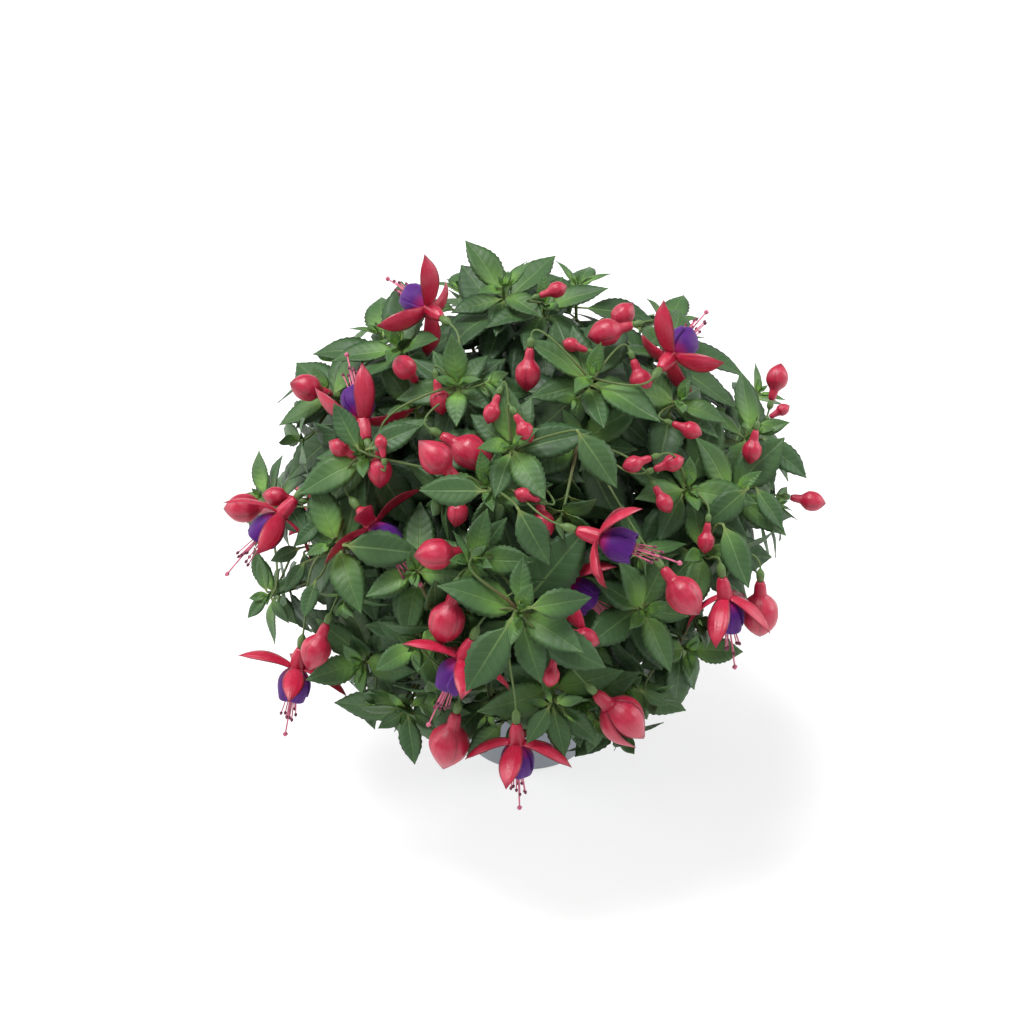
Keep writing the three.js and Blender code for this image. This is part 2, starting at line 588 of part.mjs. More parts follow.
// One leaf: where it leaves the shoot, its heading, the way its face looks, its length and droop
function leafFrame(shoot, pair, side, turn) {
  const { length, rise } = PAIRS[pair];
  const { middle, out, axis } = socket(shoot, shoot.nodes[pair], side);
  const leaf = shoot.id * 10 + pair * 2 + (side > 1 ? 1 : 0);
  const yaw = rad((draw(leaf, 1) - 0.5) * 26 + turn[0]);
  const up = rad(rise + (draw(leaf, 2) - 0.5) * 18 + turn[1]);
  const dir = out.clone().applyAxisAngle(axis, yaw).multiplyScalar(Math.cos(up))
    .addScaledVector(axis, Math.sin(up));
  const face = square(axis.clone().multiplyScalar(0.8).addScaledVector(Z, 0.3), dir)
    .applyAxisAngle(dir, rad((draw(leaf, 3) - 0.5) * 30));
  const size = length * shoot.size * (0.9 + 0.22 * draw(leaf, 4)) * turn[2];
  return { base: middle, dir, face, size, droop: 0.1 + 0.2 * draw(leaf, 5) };
}

// A blade folded up from a midrib that sinks as it goes out. A large one has a stalk first, and the
// smallest, at a shoot's tip, is one lozenge.
function blade({ base, dir, face, size, droop }) {
  const side = dir.clone().cross(face);
  const midrib = (t) => base.clone().addScaledVector(dir, size * t)
    .addScaledVector(face, -droop * size * t * t);
  let stations = [[0.36, 0.96], [0.7, 0.78]];
  if (size > LEAF.large) stations = [[0.15, 0], [0.42, 1], [0.72, 0.76]];
  if (size < LEAF.small) stations = [[0.45, 1]];
  const rings = stations.map(([t, share]) => bladeRing(midrib(t), side, face,
    Math.max(share * LEAF.width * size / 2, LEAF.petiole), LEAF.thick, LEAF.fold));
  return { rings, tip: midrib(1) };
}

// Leaves, outermost first: each is turned aside until it is clear of what is there, and left out if
// nothing helps
PAIRS.forEach((_, pair) => {
  for (const shoot of shoots.filter((s) => pair < s.pairs))
    for (const side of [0, 2].map((s) => (s + pair + shoot.pairs) % 4)) {
      const band = shoot.nodes[pair];
      const { corners } = socket(shoot, band, side);
      for (const turn of TURNS) {
        const leaf = blade(leafFrame(shoot, pair, side, turn));
        const [whole, free] = [loft([corners, ...leaf.rings], leaf.tip), loft(leaf.rings, leaf.tip)];
        if (!isClear(whole, free, shoot)) continue;
        remember(whole, free, shoot);
        shoot.limbs.push({ band, side, ...leaf });
        break;
      }
    }
});

// Each side shoot leaves its leader on the side that faces its way
for (const shoot of shoots.filter((s) => s.leader)) {
  const heading = shoot.curve.getTangent(0);
  const facing = (side) => socket(shoot.leader, shoot.band, side).out.dot(heading);
  const side = [0, 1, 2, 3].reduce((a, b) => (facing(a) > facing(b) ? a : b));
  shoot.leader.limbs.push({ band: shoot.band, side, shoot });
}

// Wood, leaves, flower stalks and side shoots as one skin
function growShoot(skin, shoot, corners) {
  const indices = shoot.rings.map((r) => skin.ring(r.points));
  if (corners) skin.band(skin.turn(corners, shoot.rings[0].points), indices[0]);
  else skin.close([...indices[0]].reverse());
  indices.slice(1).forEach((upper, band) => {
    const lower = indices[band];
    const limbs = shoot.limbs.filter((l) => l.band === band);
    skin.band(lower, upper, limbs.map((l) => l.side));
    for (const limb of limbs) {
      const hole = cornersOf(lower, upper, limb.side);
      if (limb.shoot) growShoot(skin, limb.shoot, hole);
      else skin.limb(hole, limb);
    }
  });
  skin.close(indices.at(-1));
  return skin;
}

// The finished pieces
const LOOKS = {
  pot: { color: 0x868b94, roughness: 0.5 },
  soil: { color: 0x33261d, roughness: 1 },
  stem: { color: 0x3c6a3a, roughness: 0.6 },
  calyx: { color: 0xd3224a, roughness: 0.5 },
  corolla: { color: 0x4d1f8c, roughness: 0.55 },
};

const plant = new THREE.Group();
for (const [name, geometry, look] of [
  ['pot', fromSolid(pot), 'pot'],
  ['soil', fromSolid(soil), 'soil'],
  ...shoots.filter((s) => !s.leader).map((s) => [s.stem, growShoot(new Skin(), s).geometry(), 'stem']),
  ...blooms,
  ...buds,
]) {
  geometry.computeVertexNormals();
  const mesh = new THREE.Mesh(geometry, new THREE.MeshStandardMaterial({ ...LOOKS[look], metalness: 0 }));
  mesh.name = name;
  plant.add(mesh);
}

export default plant;
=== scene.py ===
"""The looks of a potted fuchsia: leaves, bark, blooms, buds, pot and compost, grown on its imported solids.

The plant's layout is worked out here by the same rules as its solids, in millimetres, and each piece is
written in metres. Which way each leaf and stalk was turned is then found among the solids' own corners.
"""

import math

import bmesh
import bpy
import numpy as np
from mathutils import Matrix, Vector
from mathutils.bvhtree import BVHTree
from mathutils.kdtree import KDTree
from mathutils.noise import fractal


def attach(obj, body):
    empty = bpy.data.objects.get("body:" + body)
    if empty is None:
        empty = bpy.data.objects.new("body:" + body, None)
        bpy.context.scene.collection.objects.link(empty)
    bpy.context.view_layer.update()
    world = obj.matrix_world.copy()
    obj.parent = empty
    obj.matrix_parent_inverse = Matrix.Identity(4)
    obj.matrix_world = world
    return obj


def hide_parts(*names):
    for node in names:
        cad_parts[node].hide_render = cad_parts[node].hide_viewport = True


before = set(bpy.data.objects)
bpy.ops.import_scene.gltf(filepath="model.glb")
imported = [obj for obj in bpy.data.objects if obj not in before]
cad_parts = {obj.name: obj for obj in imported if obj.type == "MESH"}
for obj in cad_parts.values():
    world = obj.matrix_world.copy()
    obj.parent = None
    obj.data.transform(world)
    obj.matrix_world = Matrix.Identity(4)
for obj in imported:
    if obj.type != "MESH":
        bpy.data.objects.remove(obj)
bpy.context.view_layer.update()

MM = 0.001

# Sizes shared with the solids
GAP = 0.35
SEED = 7
POT = dict(height=92, top=50.9, base=37, wall=1.6, rim=12, step=1.6, drains=5, drain=7)
SOIL = dict(top=80, mound=3, buried=20)
DOME = dict(middle=158, radius=150, rise=133)
STEM = dict(root=2.4, fork=1.5, tip=0.85, node=0.9, junction=1.5)
INNER_RING = 9
OUTER_RING = 21
LEAF = dict(width=0.48, fold=0.16, large=42, small=20)
LOWEST_LEAF = 28
LEAF_OUTLINE = [(0, 0.05), (0.06, 0.24), (0.15, 0.58), (0.28, 0.89), (0.42, 1), (0.58, 0.93), (0.73, 0.7),
                (0.86, 0.37), (0.95, 0.13), (1, 0.02)]
PEDICEL = 0.6
OVARY = dict(length=8, radius=2.3)
TUBE = dict(length=12, radius=3.9, collar=2.2, sepals=0.86)
SEPAL = dict(length=29, width=11.5, arch=58, fold=0.2)
COROLLA = 18
STAMEN = dict(reach=31, spread=4.6, style=41)
BUD = dict(length=27, radius=10.4, middle=0.42)

# How a shoot bends: shares of its reach that keep its first and last headings, how far its tip leans to the
# viewer, how far it lifts in front and at the back, and its length beside its reach
BEND = dict(first=0.42, last=0.34, lean=0.85, lift=0.2, back_lift=0.5, length=1.06)

# The uses of a leaf's seeded draws
YAW, RISE, ROLL, SIZE, DROOP, FOLD, WAVE, TONE, YOUTH = range(1, 10)

# How leaves vary: whole swings in degrees, and the least and the span of the other measures
SWINGS = {YAW: 26, RISE: 18, ROLL: 30}
SPANS = {SIZE: (0.9, 0.22), DROOP: (0.1, 0.2), FOLD: (0.6, 0.8)}

# Leaf pairs down a shoot: distance from its tip, leaf length, rise above square to the shoot in degrees
PAIRS = [(2.5, 17, 46), (7, 34, 24), (16, 43, 8), (31, 43, -2), (52, 41, -6), (76, 38, -8)]

# How a leaf is turned aside to be clear of others: yaw and rise in degrees, then share of its length
TURNS = [
    (0, 0, 1), (14, 0, 1), (-14, 0, 1), (0, 16, 1), (0, -16, 1), (14, 16, 1), (-14, 16, 1), (14, -16, 1),
    (-14, -16, 1), (28, 0, 1), (-28, 0, 1), (28, 18, 0.9), (-28, 18, 0.9), (28, -20, 0.9), (-28, -20, 0.9),
    (0, 34, 0.9), (0, -32, 0.85), (40, 0, 0.85), (-40, 0, 0.85), (20, 30, 0.8), (-20, 30, 0.8),
]

# Forms with no solids of their own: whorls of four leaves between the pairs, the tip's unfolding pairs and
# the pairs of short shoots, each as distance from the tip, leaf length and rise. No whorl is below a share
# of its shoot, and the uppermost looks a little young
BETWEEN = [(11, 30, 14), (23, 40, 4), (41, 43, -2), (64, 41, -6), (90, 38, -10), (116, 36, -10),
           (140, 34, -10)]
LOWEST_WHORL = dict(side=0.1, leader=0.25)
YOUNG_WHORL = 0.35
UNFOLDING = [(1.2, 9, 62), (0.4, 5.5, 76)]
SPRAY_PAIRS = [(0.5, 8, 66), (1.5, 15, 48), (6, 26, 26), (15, 35, 8), (27, 40, -2), (42, 40, -6)]
SPRIG_PAIRS = [(0.6, 8, 66), (2, 14, 48), (6, 20, 22)]

# How short shoots grow: the lowest share of a spray that has leaves and how far they stand off its axis in
# mm, a sprig's least and greatest length in mm, the share of axils with one, its least number of leaves and
# the turns tried for each, and how far out on the dome their leaves and a sprig's wood may reach. Each pair
# looks older than the one above it by the same step
SPRAY = dict(lowest=0.15, off=0.7, reach=1.06)
SPRIG = dict(shortest=9, longest=20, share=0.4, least_leaves=4, turns=9, reach=1.01, wood_reach=0.97)
OLDER = 0.3

# Half the thickness that a new leaf keeps clear, and the radius of a stalk's and a sprig's clear way
CLEAR = dict(leaf=0.45, stalk=1.0, sprig=1.2)

# How the wood for a new stalk is chosen: the weights of its length, of a start behind its tip and of wood
# further out than a little below the tip, its least length, how many starts are tried, how much it rises as
# it leaves the wood, and where the starts lie along each shoot
WOOD = dict(length=2.2, behind=0.7, outside=250, below=0.06, shortest=3, tries=40, rise=0.35,
            starts=(0.3, 0.98, 18))

# How a cover leaf is moved out or in to find room, in shares of the dome
LIFTS = (0, 0.015, -0.015, 0.03, -0.03, 0.05, -0.05, 0.07, -0.08, -0.12)
COVER_DROOP = 0.06

# The forms of a flower's parts. Pairs are a place and a radius or half width. The petal's places and the
# radii of tube, petal, stigma, filament, anther and style are in mm, and the rest are shares of the part's
# own length and width. A petal opens by so many degrees to either side, the least and the span, its corners
# are shorter than its middle, and its rim is tilted and ruffled
TUBE_PROFILE = [(-1, 1.9), (-0.9, 2.5), (-0.6, 3.5), (-0.3, 3.8), (0, TUBE["radius"])]
SEPAL_PROFILE = [(0, 0.55), (0.2, 0.8), (0.5, 1), (0.78, 0.68), (0.93, 0.22), (1, 0.02)]
PETAL_PROFILE = [(0, 2.6), (2.5, 5.2), (7.5, 8.1), (12, 8.3), (15.5, 7.6), (18, 7.0)]
BUD_NECK = [(0, 0.6), (0.3, 0.88), (0.75, 1)]
BUD_PLACES = (0.12, 0.26, 0.4, 0.55, 0.7, 0.84, 0.94, 1)
ROUND_BUD = (0.66, 0.93, 1, 0.98, 0.84, 0.55, 0.25, 0.02)
POINTED_BUD = (0.66, 0.93, 1, 0.92, 0.7, 0.4, 0.17, 0.02)
OVARY_PROFILE = (0.42, 0.68, 0.88, 0.98, 1.0, 0.98, 0.94, 0.88, 0.78)
ANTHER_PROFILE = (0.25, 0.8, 1, 0.95, 0.7, 0.2)
STIGMA_RADII = (0.4, 0.8, 1.15, 1.25, 1.2, 1.0, 0.7, 0.2)
PETAL = dict(opening=(64, 6), length=0.97, corner=0.24, tilt=0.45, ruffle=0.5, sheet=0.35)
FILAMENT_RADIUS = 0.34
ANTHER_RADIUS = 0.85
STYLE_RADIUS = 0.42

# About one turn in radians, as the waves of leaves and petals start anywhere in it
FULL_TURN = 6.28

# First numbers of the seeded draws of each kind of part. The solids' own leaves count from 0
FIRST = dict(stamens=500, petals=700, whorls=2000, unfolding=5000, covers=7000, sprays=8000, sprigs=9000)

# The photograph's view, in pixels of its frame
VIEW = dict(frame=1024, middle=512, focal=2574, elevation=36, distance=1400, aim=(-9.2, 0, 154))
SENSOR = 36

# Each stem's root (bearing, distance from the pot's axis) and its shoots, the first its leader. A shoot has
# its tip's pixel, or its bearing and climb at the back, how far out on the dome it reaches, and as roll the
# way that its leaf pairs are turned in the picture. fork is where a side shoot leaves the leader
STEMS = [
    ("stem_crown", (180, INNER_RING), [
      dict(at=(503, 286), reach=0.95, roll=140),
      dict(at=(545, 303), reach=0.9, roll=10, fork=0.55, size=0.9),
      dict(bearing=-172, climb=50, reach=0.9, roll=20, fork=0.5),
      ]),
    ("stem_crown_left", (-90, INNER_RING), [
      dict(at=(396, 345), reach=0.95, roll=190),
      dict(at=(411, 405), reach=0.8, roll=134, fork=0.45),
      dict(at=(457, 383), reach=0.97, roll=90, fork=0.6, size=0.75),
      ]),
    ("stem_crown_front", (0, INNER_RING), [
      dict(at=(511, 444), reach=0.97, roll=110),
      dict(at=(487, 487), reach=0.9, roll=187, fork=0.6),
      dict(at=(472, 560), reach=0.97, roll=80, fork=0.45, size=0.75),
      ]),
    ("stem_crown_right", (90, INNER_RING), [
      dict(at=(591, 375), reach=0.98, roll=152, size=1.12),
      dict(at=(580, 440), reach=0.82, roll=30, fork=0.5),
      dict(at=(680, 399), reach=0.96, roll=162, fork=0.42, size=0.85),
      dict(bearing=100, climb=55, reach=0.9, roll=60, fork=0.35),
      ]),
    ("stem_left", (-98, OUTER_RING), [
      dict(at=(327, 392), reach=0.95, roll=40),
      dict(at=(362, 454), reach=0.98, roll=27, fork=0.5),
      dict(at=(259, 496), reach=0.97, roll=90, fork=0.4, size=0.8),
      ]),
    ("stem_left_low", (-66, OUTER_RING), [
      dict(at=(332, 545), reach=1.0, roll=114),
      dict(at=(268, 596), reach=0.97, roll=94, fork=0.55, size=0.7),
      dict(at=(360, 666), reach=0.95, roll=-75, fork=0.45, pairs=4),
      ]),
    ("stem_front_left", (-34, OUTER_RING), [
      dict(at=(413, 572), reach=0.94, roll=-90, size=0.8, pairs=6),
      dict(at=(416, 647), reach=0.97, roll=20, fork=0.6, size=0.8),
      dict(at=(407, 707), reach=0.97, roll=-82, fork=0.45, size=1.1, pairs=4),
      dict(at=(462, 612), reach=0.78, roll=35, fork=0.36),
      ]),
    ("stem_front", (-2, OUTER_RING), [
      dict(at=(519, 613), reach=1, roll=153, size=1.15),
      dict(at=(553, 695), reach=0.95, roll=-80, fork=0.5, size=1.1, pairs=4),
      dict(at=(494, 696), reach=0.86, roll=150, fork=0.42, size=1.1),
      dict(at=(590, 645), reach=0.82, roll=60, fork=0.34),
      ]),
    ("stem_front_right", (30, OUTER_RING), [
      dict(at=(646, 612), reach=0.97, roll=200, size=0.9, pairs=6),
      dict(at=(625, 690), reach=0.92, roll=-20, fork=0.45),
      dict(at=(690, 652), reach=0.95, roll=-5, fork=0.55, size=0.85),
      dict(at=(583, 706), reach=0.96, roll=-70, fork=0.5, size=0.75),
      dict(at=(575, 585), reach=0.72, roll=100, fork=0.34),
      ]),
    ("stem_right", (66, OUTER_RING), [
      dict(at=(738, 491), reach=0.97, roll=-40),
      dict(at=(756, 431), reach=0.98, roll=100, fork=0.55),
      dict(at=(690, 488), reach=0.92, roll=190, fork=0.5),
      dict(at=(706, 552), reach=0.95, roll=-88, fork=0.42, size=0.95),
      ]),
]
for number, bearing in enumerate((108, 150, 194, 236), 1):
    STEMS.append((f"stem_back_{number}", (bearing, OUTER_RING), [
        dict(bearing=bearing, climb=22, reach=0.95, roll=35),
        dict(bearing=bearing + 12, climb=50, reach=0.9, roll=80, fork=0.5),
        dict(bearing=bearing - 13, climb=-4, reach=0.92, roll=120, fork=0.42, size=0.9),
    ]))

# Blooms: throat, aim as the way it points in the picture and its lean away from the viewer, roll about
# its axis, and each sepal's opening
BLOOMS = [
    dict(at=(429, 309), reach=1.02, aim=(142, 45), roll=0, sepals=(88, 45, 80, 88)),
    dict(at=(671, 356), reach=1.03, aim=(50, 40), roll=-12, sepals=(80, 92, 70, 55)),
    dict(at=(280, 516), reach=1.03, aim=(228, 5), roll=30, sepals=(60, 60, 70, 46)),
    dict(at=(297, 668), reach=1.08, aim=(258, 25), roll=24, sepals=(70, 66, 84, 92)),
    dict(at=(373, 526), reach=0.92, aim=(-50, -20), roll=30, sepals=(85, 90, 84, 88)),
    dict(at=(362, 420), reach=0.97, aim=(105, 30), roll=12, sepals=(34, 76, 80, 42)),
    dict(at=(462, 659), reach=1.02, aim=(244, 22), roll=22, sepals=(84, 60, 74, 78)),
    dict(at=(517, 743), reach=1.08, aim=(-88, 30), roll=8, sepals=(60, 64, 76, 62)),
    dict(at=(600, 538), reach=1.05, aim=(-18, -6), roll=0, sepals=(54, 74, 70, 70)),
    dict(at=(565, 583), reach=0.83, aim=(-36, 10), roll=0, sepals=(62, 44, 80, 80)),
    dict(at=(725, 598), reach=1.04, aim=(-80, 26), roll=0, sepals=(50, 42, 62, 46)),
    dict(bearing=150, climb=-10, reach=1.05, droop=62, roll=20, sepals=(80, 84, 78, 82)),
    dict(bearing=200, climb=-4, reach=1.03, droop=40, roll=0, sepals=(84, 80, 86, 82)),
    dict(bearing=236, climb=-24, reach=1.05, droop=70, roll=50, sepals=(76, 82, 80, 85)),
]

# Blooms whose lower halves leaves may cover, as in the photograph
HALF_HIDDEN = (4, 5, 6)

# Buds: middle of the swollen part, size beside a full balloon bud, and aim as for a bloom. pointed is how
# far its form goes from round to pointed, and parted how far each sepal stands off at its tip in mm
BUDS = [
    dict(at=(245, 508), reach=1.04, aim=(182, 5), size=0.74),
    dict(at=(308, 388), reach=1.03, aim=(165, -25), size=0.66),
    dict(at=(405, 368), reach=1.02, aim=(130, -45), size=0.56),
    dict(at=(436, 458), reach=1.0, aim=(135, -10), size=0.78, pointed=0.8),
    dict(at=(437, 554), reach=1.0, aim=(184, -15), size=0.74),
    dict(at=(447, 620), reach=0.99, aim=(-105, 20), size=0.86),
    dict(at=(316, 650), reach=1.05, aim=(-112, 10), size=0.74, pointed=0.6),
    dict(at=(449, 744), reach=1.07, aim=(-103, 28), size=1.0, pointed=1),
    dict(at=(622, 718), reach=1.05, aim=(-44, 20), size=1.05, pointed=1, parted=(0.5, 6.0, 0.5, 0.8)),
    dict(at=(683, 594), reach=1.06, aim=(-52, 0), size=0.82),
    dict(at=(607, 332), reach=1.0, aim=(195, 0), size=0.66),
    dict(at=(777, 379), reach=1.04, aim=(75, 5), size=0.56),
    dict(at=(811, 501), reach=1.08, aim=(-10, 0), size=0.5),
    dict(at=(760, 612), reach=1.07, aim=(-88, 25), size=0.9),
    dict(bearing=176, climb=0, reach=1.04, droop=55, size=0.8),
    dict(bearing=218, climb=-12, reach=1.05, droop=50, size=0.9, pointed=1),
]

# The foliage's outline in the photograph's view, which new leaves stay within
OUTLINE = [
    (452, 240), (500, 260), (558, 254), (592, 283), (584, 316), (640, 343), (690, 348), (722, 385),
    (736, 370), (756, 360), (768, 425), (812, 478), (797, 534), (772, 580), (748, 612), (740, 664),
    (700, 692), (668, 714), (648, 762), (585, 768), (545, 757), (505, 752), (470, 765), (405, 768),
    (372, 732), (338, 708), (322, 640), (285, 625), (238, 630), (243, 560), (275, 530), (233, 470),
    (260, 436), (292, 405), (322, 366), (350, 343), (395, 323), (440, 330), (462, 290),
]

# Short shoots with no solid of their own, each from the wood nearest to it: the tip's pixel, how far out on
# the dome it lies, its size and the way that it points in the picture. The 13th and the 16th find no clear
# way to any wood, and only keep their places in the order of the draws
SPRAYS = [
    ((565, 716), 1.03, 1.1, -78), ((596, 722), 1.0, 0.9, -70), ((487, 716), 0.99, 1.1, -85),
    ((530, 712), 0.92, 1.1, -92), ((437, 700), 0.98, 0.95, -100), ((402, 718), 1.0, 1.0, -80),
    ((372, 702), 1.0, 0.9, -110), ((440, 648), 0.95, 0.8, -90), ((620, 735), 0.96, 1.0, -60),
    ((648, 700), 0.97, 0.95, -50), ((700, 620), 0.9, 1.0, -60), ((735, 560), 0.95, 1.0, -40),
    ((770, 520), 1.0, 0.9, -70), ((345, 605), 1.0, 0.9, -90), ((473, 557), 1.0, 0.7, 40),
    ((300, 560), 0.97, 0.9, -150), ((295, 440), 0.96, 0.9, 160), ((640, 560), 0.9, 1.0, -60),
    ((560, 520), 0.88, 1.0, -110), ((500, 500), 0.86, 1.0, -90), ((440, 500), 0.88, 1.0, -120),
]

# Small buds that are too slight for solids of their own: pixel, how far out on the dome, aim and size
SMALL_BUDS = [
    ((340, 448), 1.0, (150, 0), 0.42), ((381, 443), 1.02, (100, 0), 0.3), ((622, 316), 0.99, (50, 0), 0.55),
    ((641, 381), 0.93, (-70, 0), 0.55), ((528, 373), 0.92, (-95, 10), 0.62),
    ((470, 452), 0.88, (-30, 0), 0.85), ((543, 523), 0.9, (-80, 0), 0.55),
    ((458, 512), 0.9, (-100, 0), 0.5), ((664, 502), 0.93, (-60, 0), 0.4), ((440, 400), 0.92, (-80, 0), 0.5),
    ((556, 290), 1.0, (20, 10), 0.4), ((572, 345), 0.99, (160, 0), 0.34),
    ((525, 431), 0.99, (-60, 0), 0.42), ((524, 495), 0.96, (160, 0), 0.34),
    ((634, 464), 0.97, (-160, 0), 0.4), ((672, 463), 0.98, (20, 0), 0.42),
    ((690, 430), 0.99, (-20, 0), 0.42), ((782, 410), 1.02, (30, 0), 0.3),
    ((752, 450), 1.0, (-100, 10), 0.48), ((706, 541), 0.98, (-95, 10), 0.42),
    ((551, 675), 1.0, (-100, 15), 0.42), ((492, 412), 0.99, (-110, 0), 0.4),
    ((585, 638), 0.98, (-20, 0), 0.5), ((277, 497), 1.0, (170, 0), 0.5), ((380, 470), 0.94, (-90, 0), 0.6),
]

# Single leaves that stand out in the photograph and have no solid: the pixels of base and tip, how far out
# on the dome they lie, and how young they look
COVERS = [
    ((343, 545), (421, 553), 1.02, 0.1), ((512, 618), (466, 692), 1.08, 0.15),
    ((521, 622), (541, 684), 1.02, 0.3), ((536, 630), (606, 669), 1.01, 0.1),
    ((359, 450), (333, 403), 1.04, 0.2), ((366, 450), (420, 425), 1.03, 0.1),
    ((553, 707), (565, 757), 1.0, 0.2), ((558, 705), (597, 742), 0.99, 0.2),
    ((550, 705), (527, 744), 0.97, 0.15), ((549, 704), (526, 700), 1.0, 0.6),
    ((557, 703), (583, 698), 1.0, 0.6), ((551, 702), (546, 689), 1.03, 1.0),
    ((556, 702), (566, 692), 1.03, 1.0), ((503, 722), (467, 757), 0.99, 0.4),
    ((489, 712), (484, 745), 0.96, 0.2), ((408, 714), (414, 765), 1.0, 0.15),
    ((404, 712), (378, 729), 0.99, 0.2), ((412, 712), (437, 732), 0.97, 0.3),
    ((404, 706), (388, 694), 1.0, 0.8), ((412, 706), (428, 694), 1.0, 0.8),
    ((363, 694), (374, 730), 0.98, 0.2), ((322, 520), (294, 546), 0.96, 0.1),
    ((267, 596), (247, 618), 0.98, 0.3), ((271, 598), (288, 624), 0.98, 0.3),
    ((267, 592), (258, 556), 0.98, 0.3), ((272, 593), (295, 578), 0.98, 0.2),
    ((305, 562), (284, 592), 0.95, 0.1), ((300, 548), (270, 561), 0.94, 0.1),
    ((316, 580), (303, 618), 0.97, 0.1), ((304, 552), (312, 588), 0.92, 0.0),
    ((600, 715), (588, 754), 0.95, 0.2), ((640, 690), (668, 706), 0.98, 0.2),
    ((522, 718), (507, 752), 0.92, 0.1), ((574, 716), (580, 748), 0.92, 0.1),
    ((763, 439), (808, 477), 1.0, 0.2), ((755, 487), (784, 529), 1.0, 0.2),
    ((723, 524), (750, 588), 1.03, 0.3), ((748, 488), (702, 528), 1.02, 0.2),
    ((577, 430), (618, 488), 1.03, 0.1), ((517, 507), (550, 566), 1.03, 0.1),
    ((486, 491), (419, 490), 1.05, 0.1), ((519, 604), (523, 556), 1.03, 0.4),
    ((528, 608), (592, 598), 1.05, 0.4),
]

# The lights: where each stands, its strength and its angle in degrees, and the strength of the white world
LIGHTS = dict(key=((-0.4, 0.12, 1.5), 3.4, 28), fill=((0.3, -1.0, 1.0), 0.3, 50),
              left_rim=((-1.3, 0.3, 0.6), 1.3, 40), right_rim=((1.3, 0.3, 0.6), 1.5, 40))
WORLD = 0.40


def vec(*parts):
    return np.array(parts, float)


# The picture's axes, to the right, up and into it, and the dome that the plant fills
TILT = math.radians(VIEW["elevation"])
Z = vec(0, 0, 1)
RIGHT = vec(1, 0, 0)
UP = vec(0, math.sin(TILT), math.cos(TILT))
INTO = vec(0, math.cos(TILT), -math.sin(TILT))
EYE = vec(*VIEW["aim"]) - VIEW["distance"] * INTO
AXES = vec(DOME["radius"], DOME["radius"], DOME["rise"])
MIDDLE = vec(0, 0, DOME["middle"])


def set_camera():
    camera = bpy.data.objects.new("camera", bpy.data.cameras.new("camera"))
    camera.data.sensor_width = SENSOR
    camera.data.lens = SENSOR * VIEW["focal"] / VIEW["frame"]
    camera.location = (Vector(VIEW["aim"]) - VIEW["distance"] * Vector(INTO)) * MM
    camera.rotation_euler = Vector(INTO).to_track_quat("-Z", "Y").to_euler()
    bpy.context.scene.collection.objects.link(camera)
    bpy.context.scene.camera = camera


set_camera()


# Vectors and curves

def unit(v):
    return v / np.linalg.norm(v)


def square(v, axis):
    return unit(v - np.dot(v, axis) * axis)


def turned(v, axis, angle):
    """v turned about a unit axis by an angle in radians."""
    c, s = math.cos(angle), math.sin(angle)
    return v * c + np.cross(axis, v) * s + axis * (np.dot(axis, v) * (1 - c))


def draw(leaf, use):
    """A seeded number from 0 to 1 for one use of one leaf."""
    x = math.sin(leaf * 12.9898 + use * 78.233 + SEED) * 43758.5453
    return x - math.floor(x)


def varied(leaf, use):
    least, span = SPANS[use]
    return least + span * draw(leaf, use)


def swung(leaf, use):
    """An angle in degrees to either side of none."""
    return (draw(leaf, use) - 0.5) * SWINGS[use]


def lerp(a, b, t):
    return a + (b - a) * t


def smooth(points, at):
    """A smooth curve of values through (place, value) points."""
    x, y = np.array(points, float).T
    slope = np.gradient(y, x)
    i = np.clip(np.searchsorted(x, at, side="right") - 1, 0, len(x) - 2)
    step = x[i + 1] - x[i]
    s = np.clip((at - x[i]) / step, 0, 1)
    return ((2 * s**3 - 3 * s**2 + 1) * y[i] + (s**3 - 2 * s**2 + s) * step * slope[i]
            + (3 * s**2 - 2 * s**3) * y[i + 1] + (s**3 - s**2) * step * slope[i + 1])


def sight(pixel):
    """The viewer's line through a pixel, as long as 1 mm of the picture's depth."""
    return (INTO + RIGHT * (pixel[0] - VIEW["middle"]) / VIEW["focal"]
            + UP * (VIEW["middle"] - pixel[1]) / VIEW["focal"])


def on_dome(pixel, reach):
    """Where a pixel falls on the dome, drawn in or out by reach."""
    ray = sight(pixel)
    o = (EYE - MIDDLE) / AXES / reach
    v = ray / AXES / reach
    a, b, c = np.dot(v, v), np.dot(o, v), np.dot(o, o) - 1
    return EYE + ray * (-b - math.sqrt(max(b * b - a * c, 0))) / a


def beside(pixel, point):
    """Where a pixel falls as far into the picture as a point is."""
    return EYE + sight(pixel) * np.dot(point - EYE, INTO)


def dome_share(points):
    """How far points are from the dome's middle, as a share of the way to its skin."""
    return np.linalg.norm((points - MIDDLE) / AXES, axis=-1)


def level(bearing):
    """The level way out from the pot's axis at a bearing in degrees, 0 being the front."""
    b = math.radians(bearing)
    return vec(math.sin(b), -math.cos(b), 0)


def place(spec):
    if "at" in spec:
        return on_dome(spec["at"], spec["reach"])
    b, c = math.radians(spec["bearing"]), math.radians(spec["climb"])
    way = vec(math.sin(b) * math.cos(c), -math.cos(b) * math.cos(c), math.sin(c))
    return MIDDLE + spec["reach"] * AXES * way


def in_picture(angle, away):
    a, w = math.radians(angle), math.radians(away)
    return RIGHT * math.cos(a) * math.cos(w) + UP * math.sin(a) * math.cos(w) + INTO * math.sin(w)


def pointing(spec):
    if "aim" in spec:
        return in_picture(*spec["aim"])
    b, d = math.radians(spec["bearing"]), math.radians(spec["droop"])
    return vec(math.sin(b) * math.cos(d), -math.cos(b) * math.cos(d), -math.sin(d))


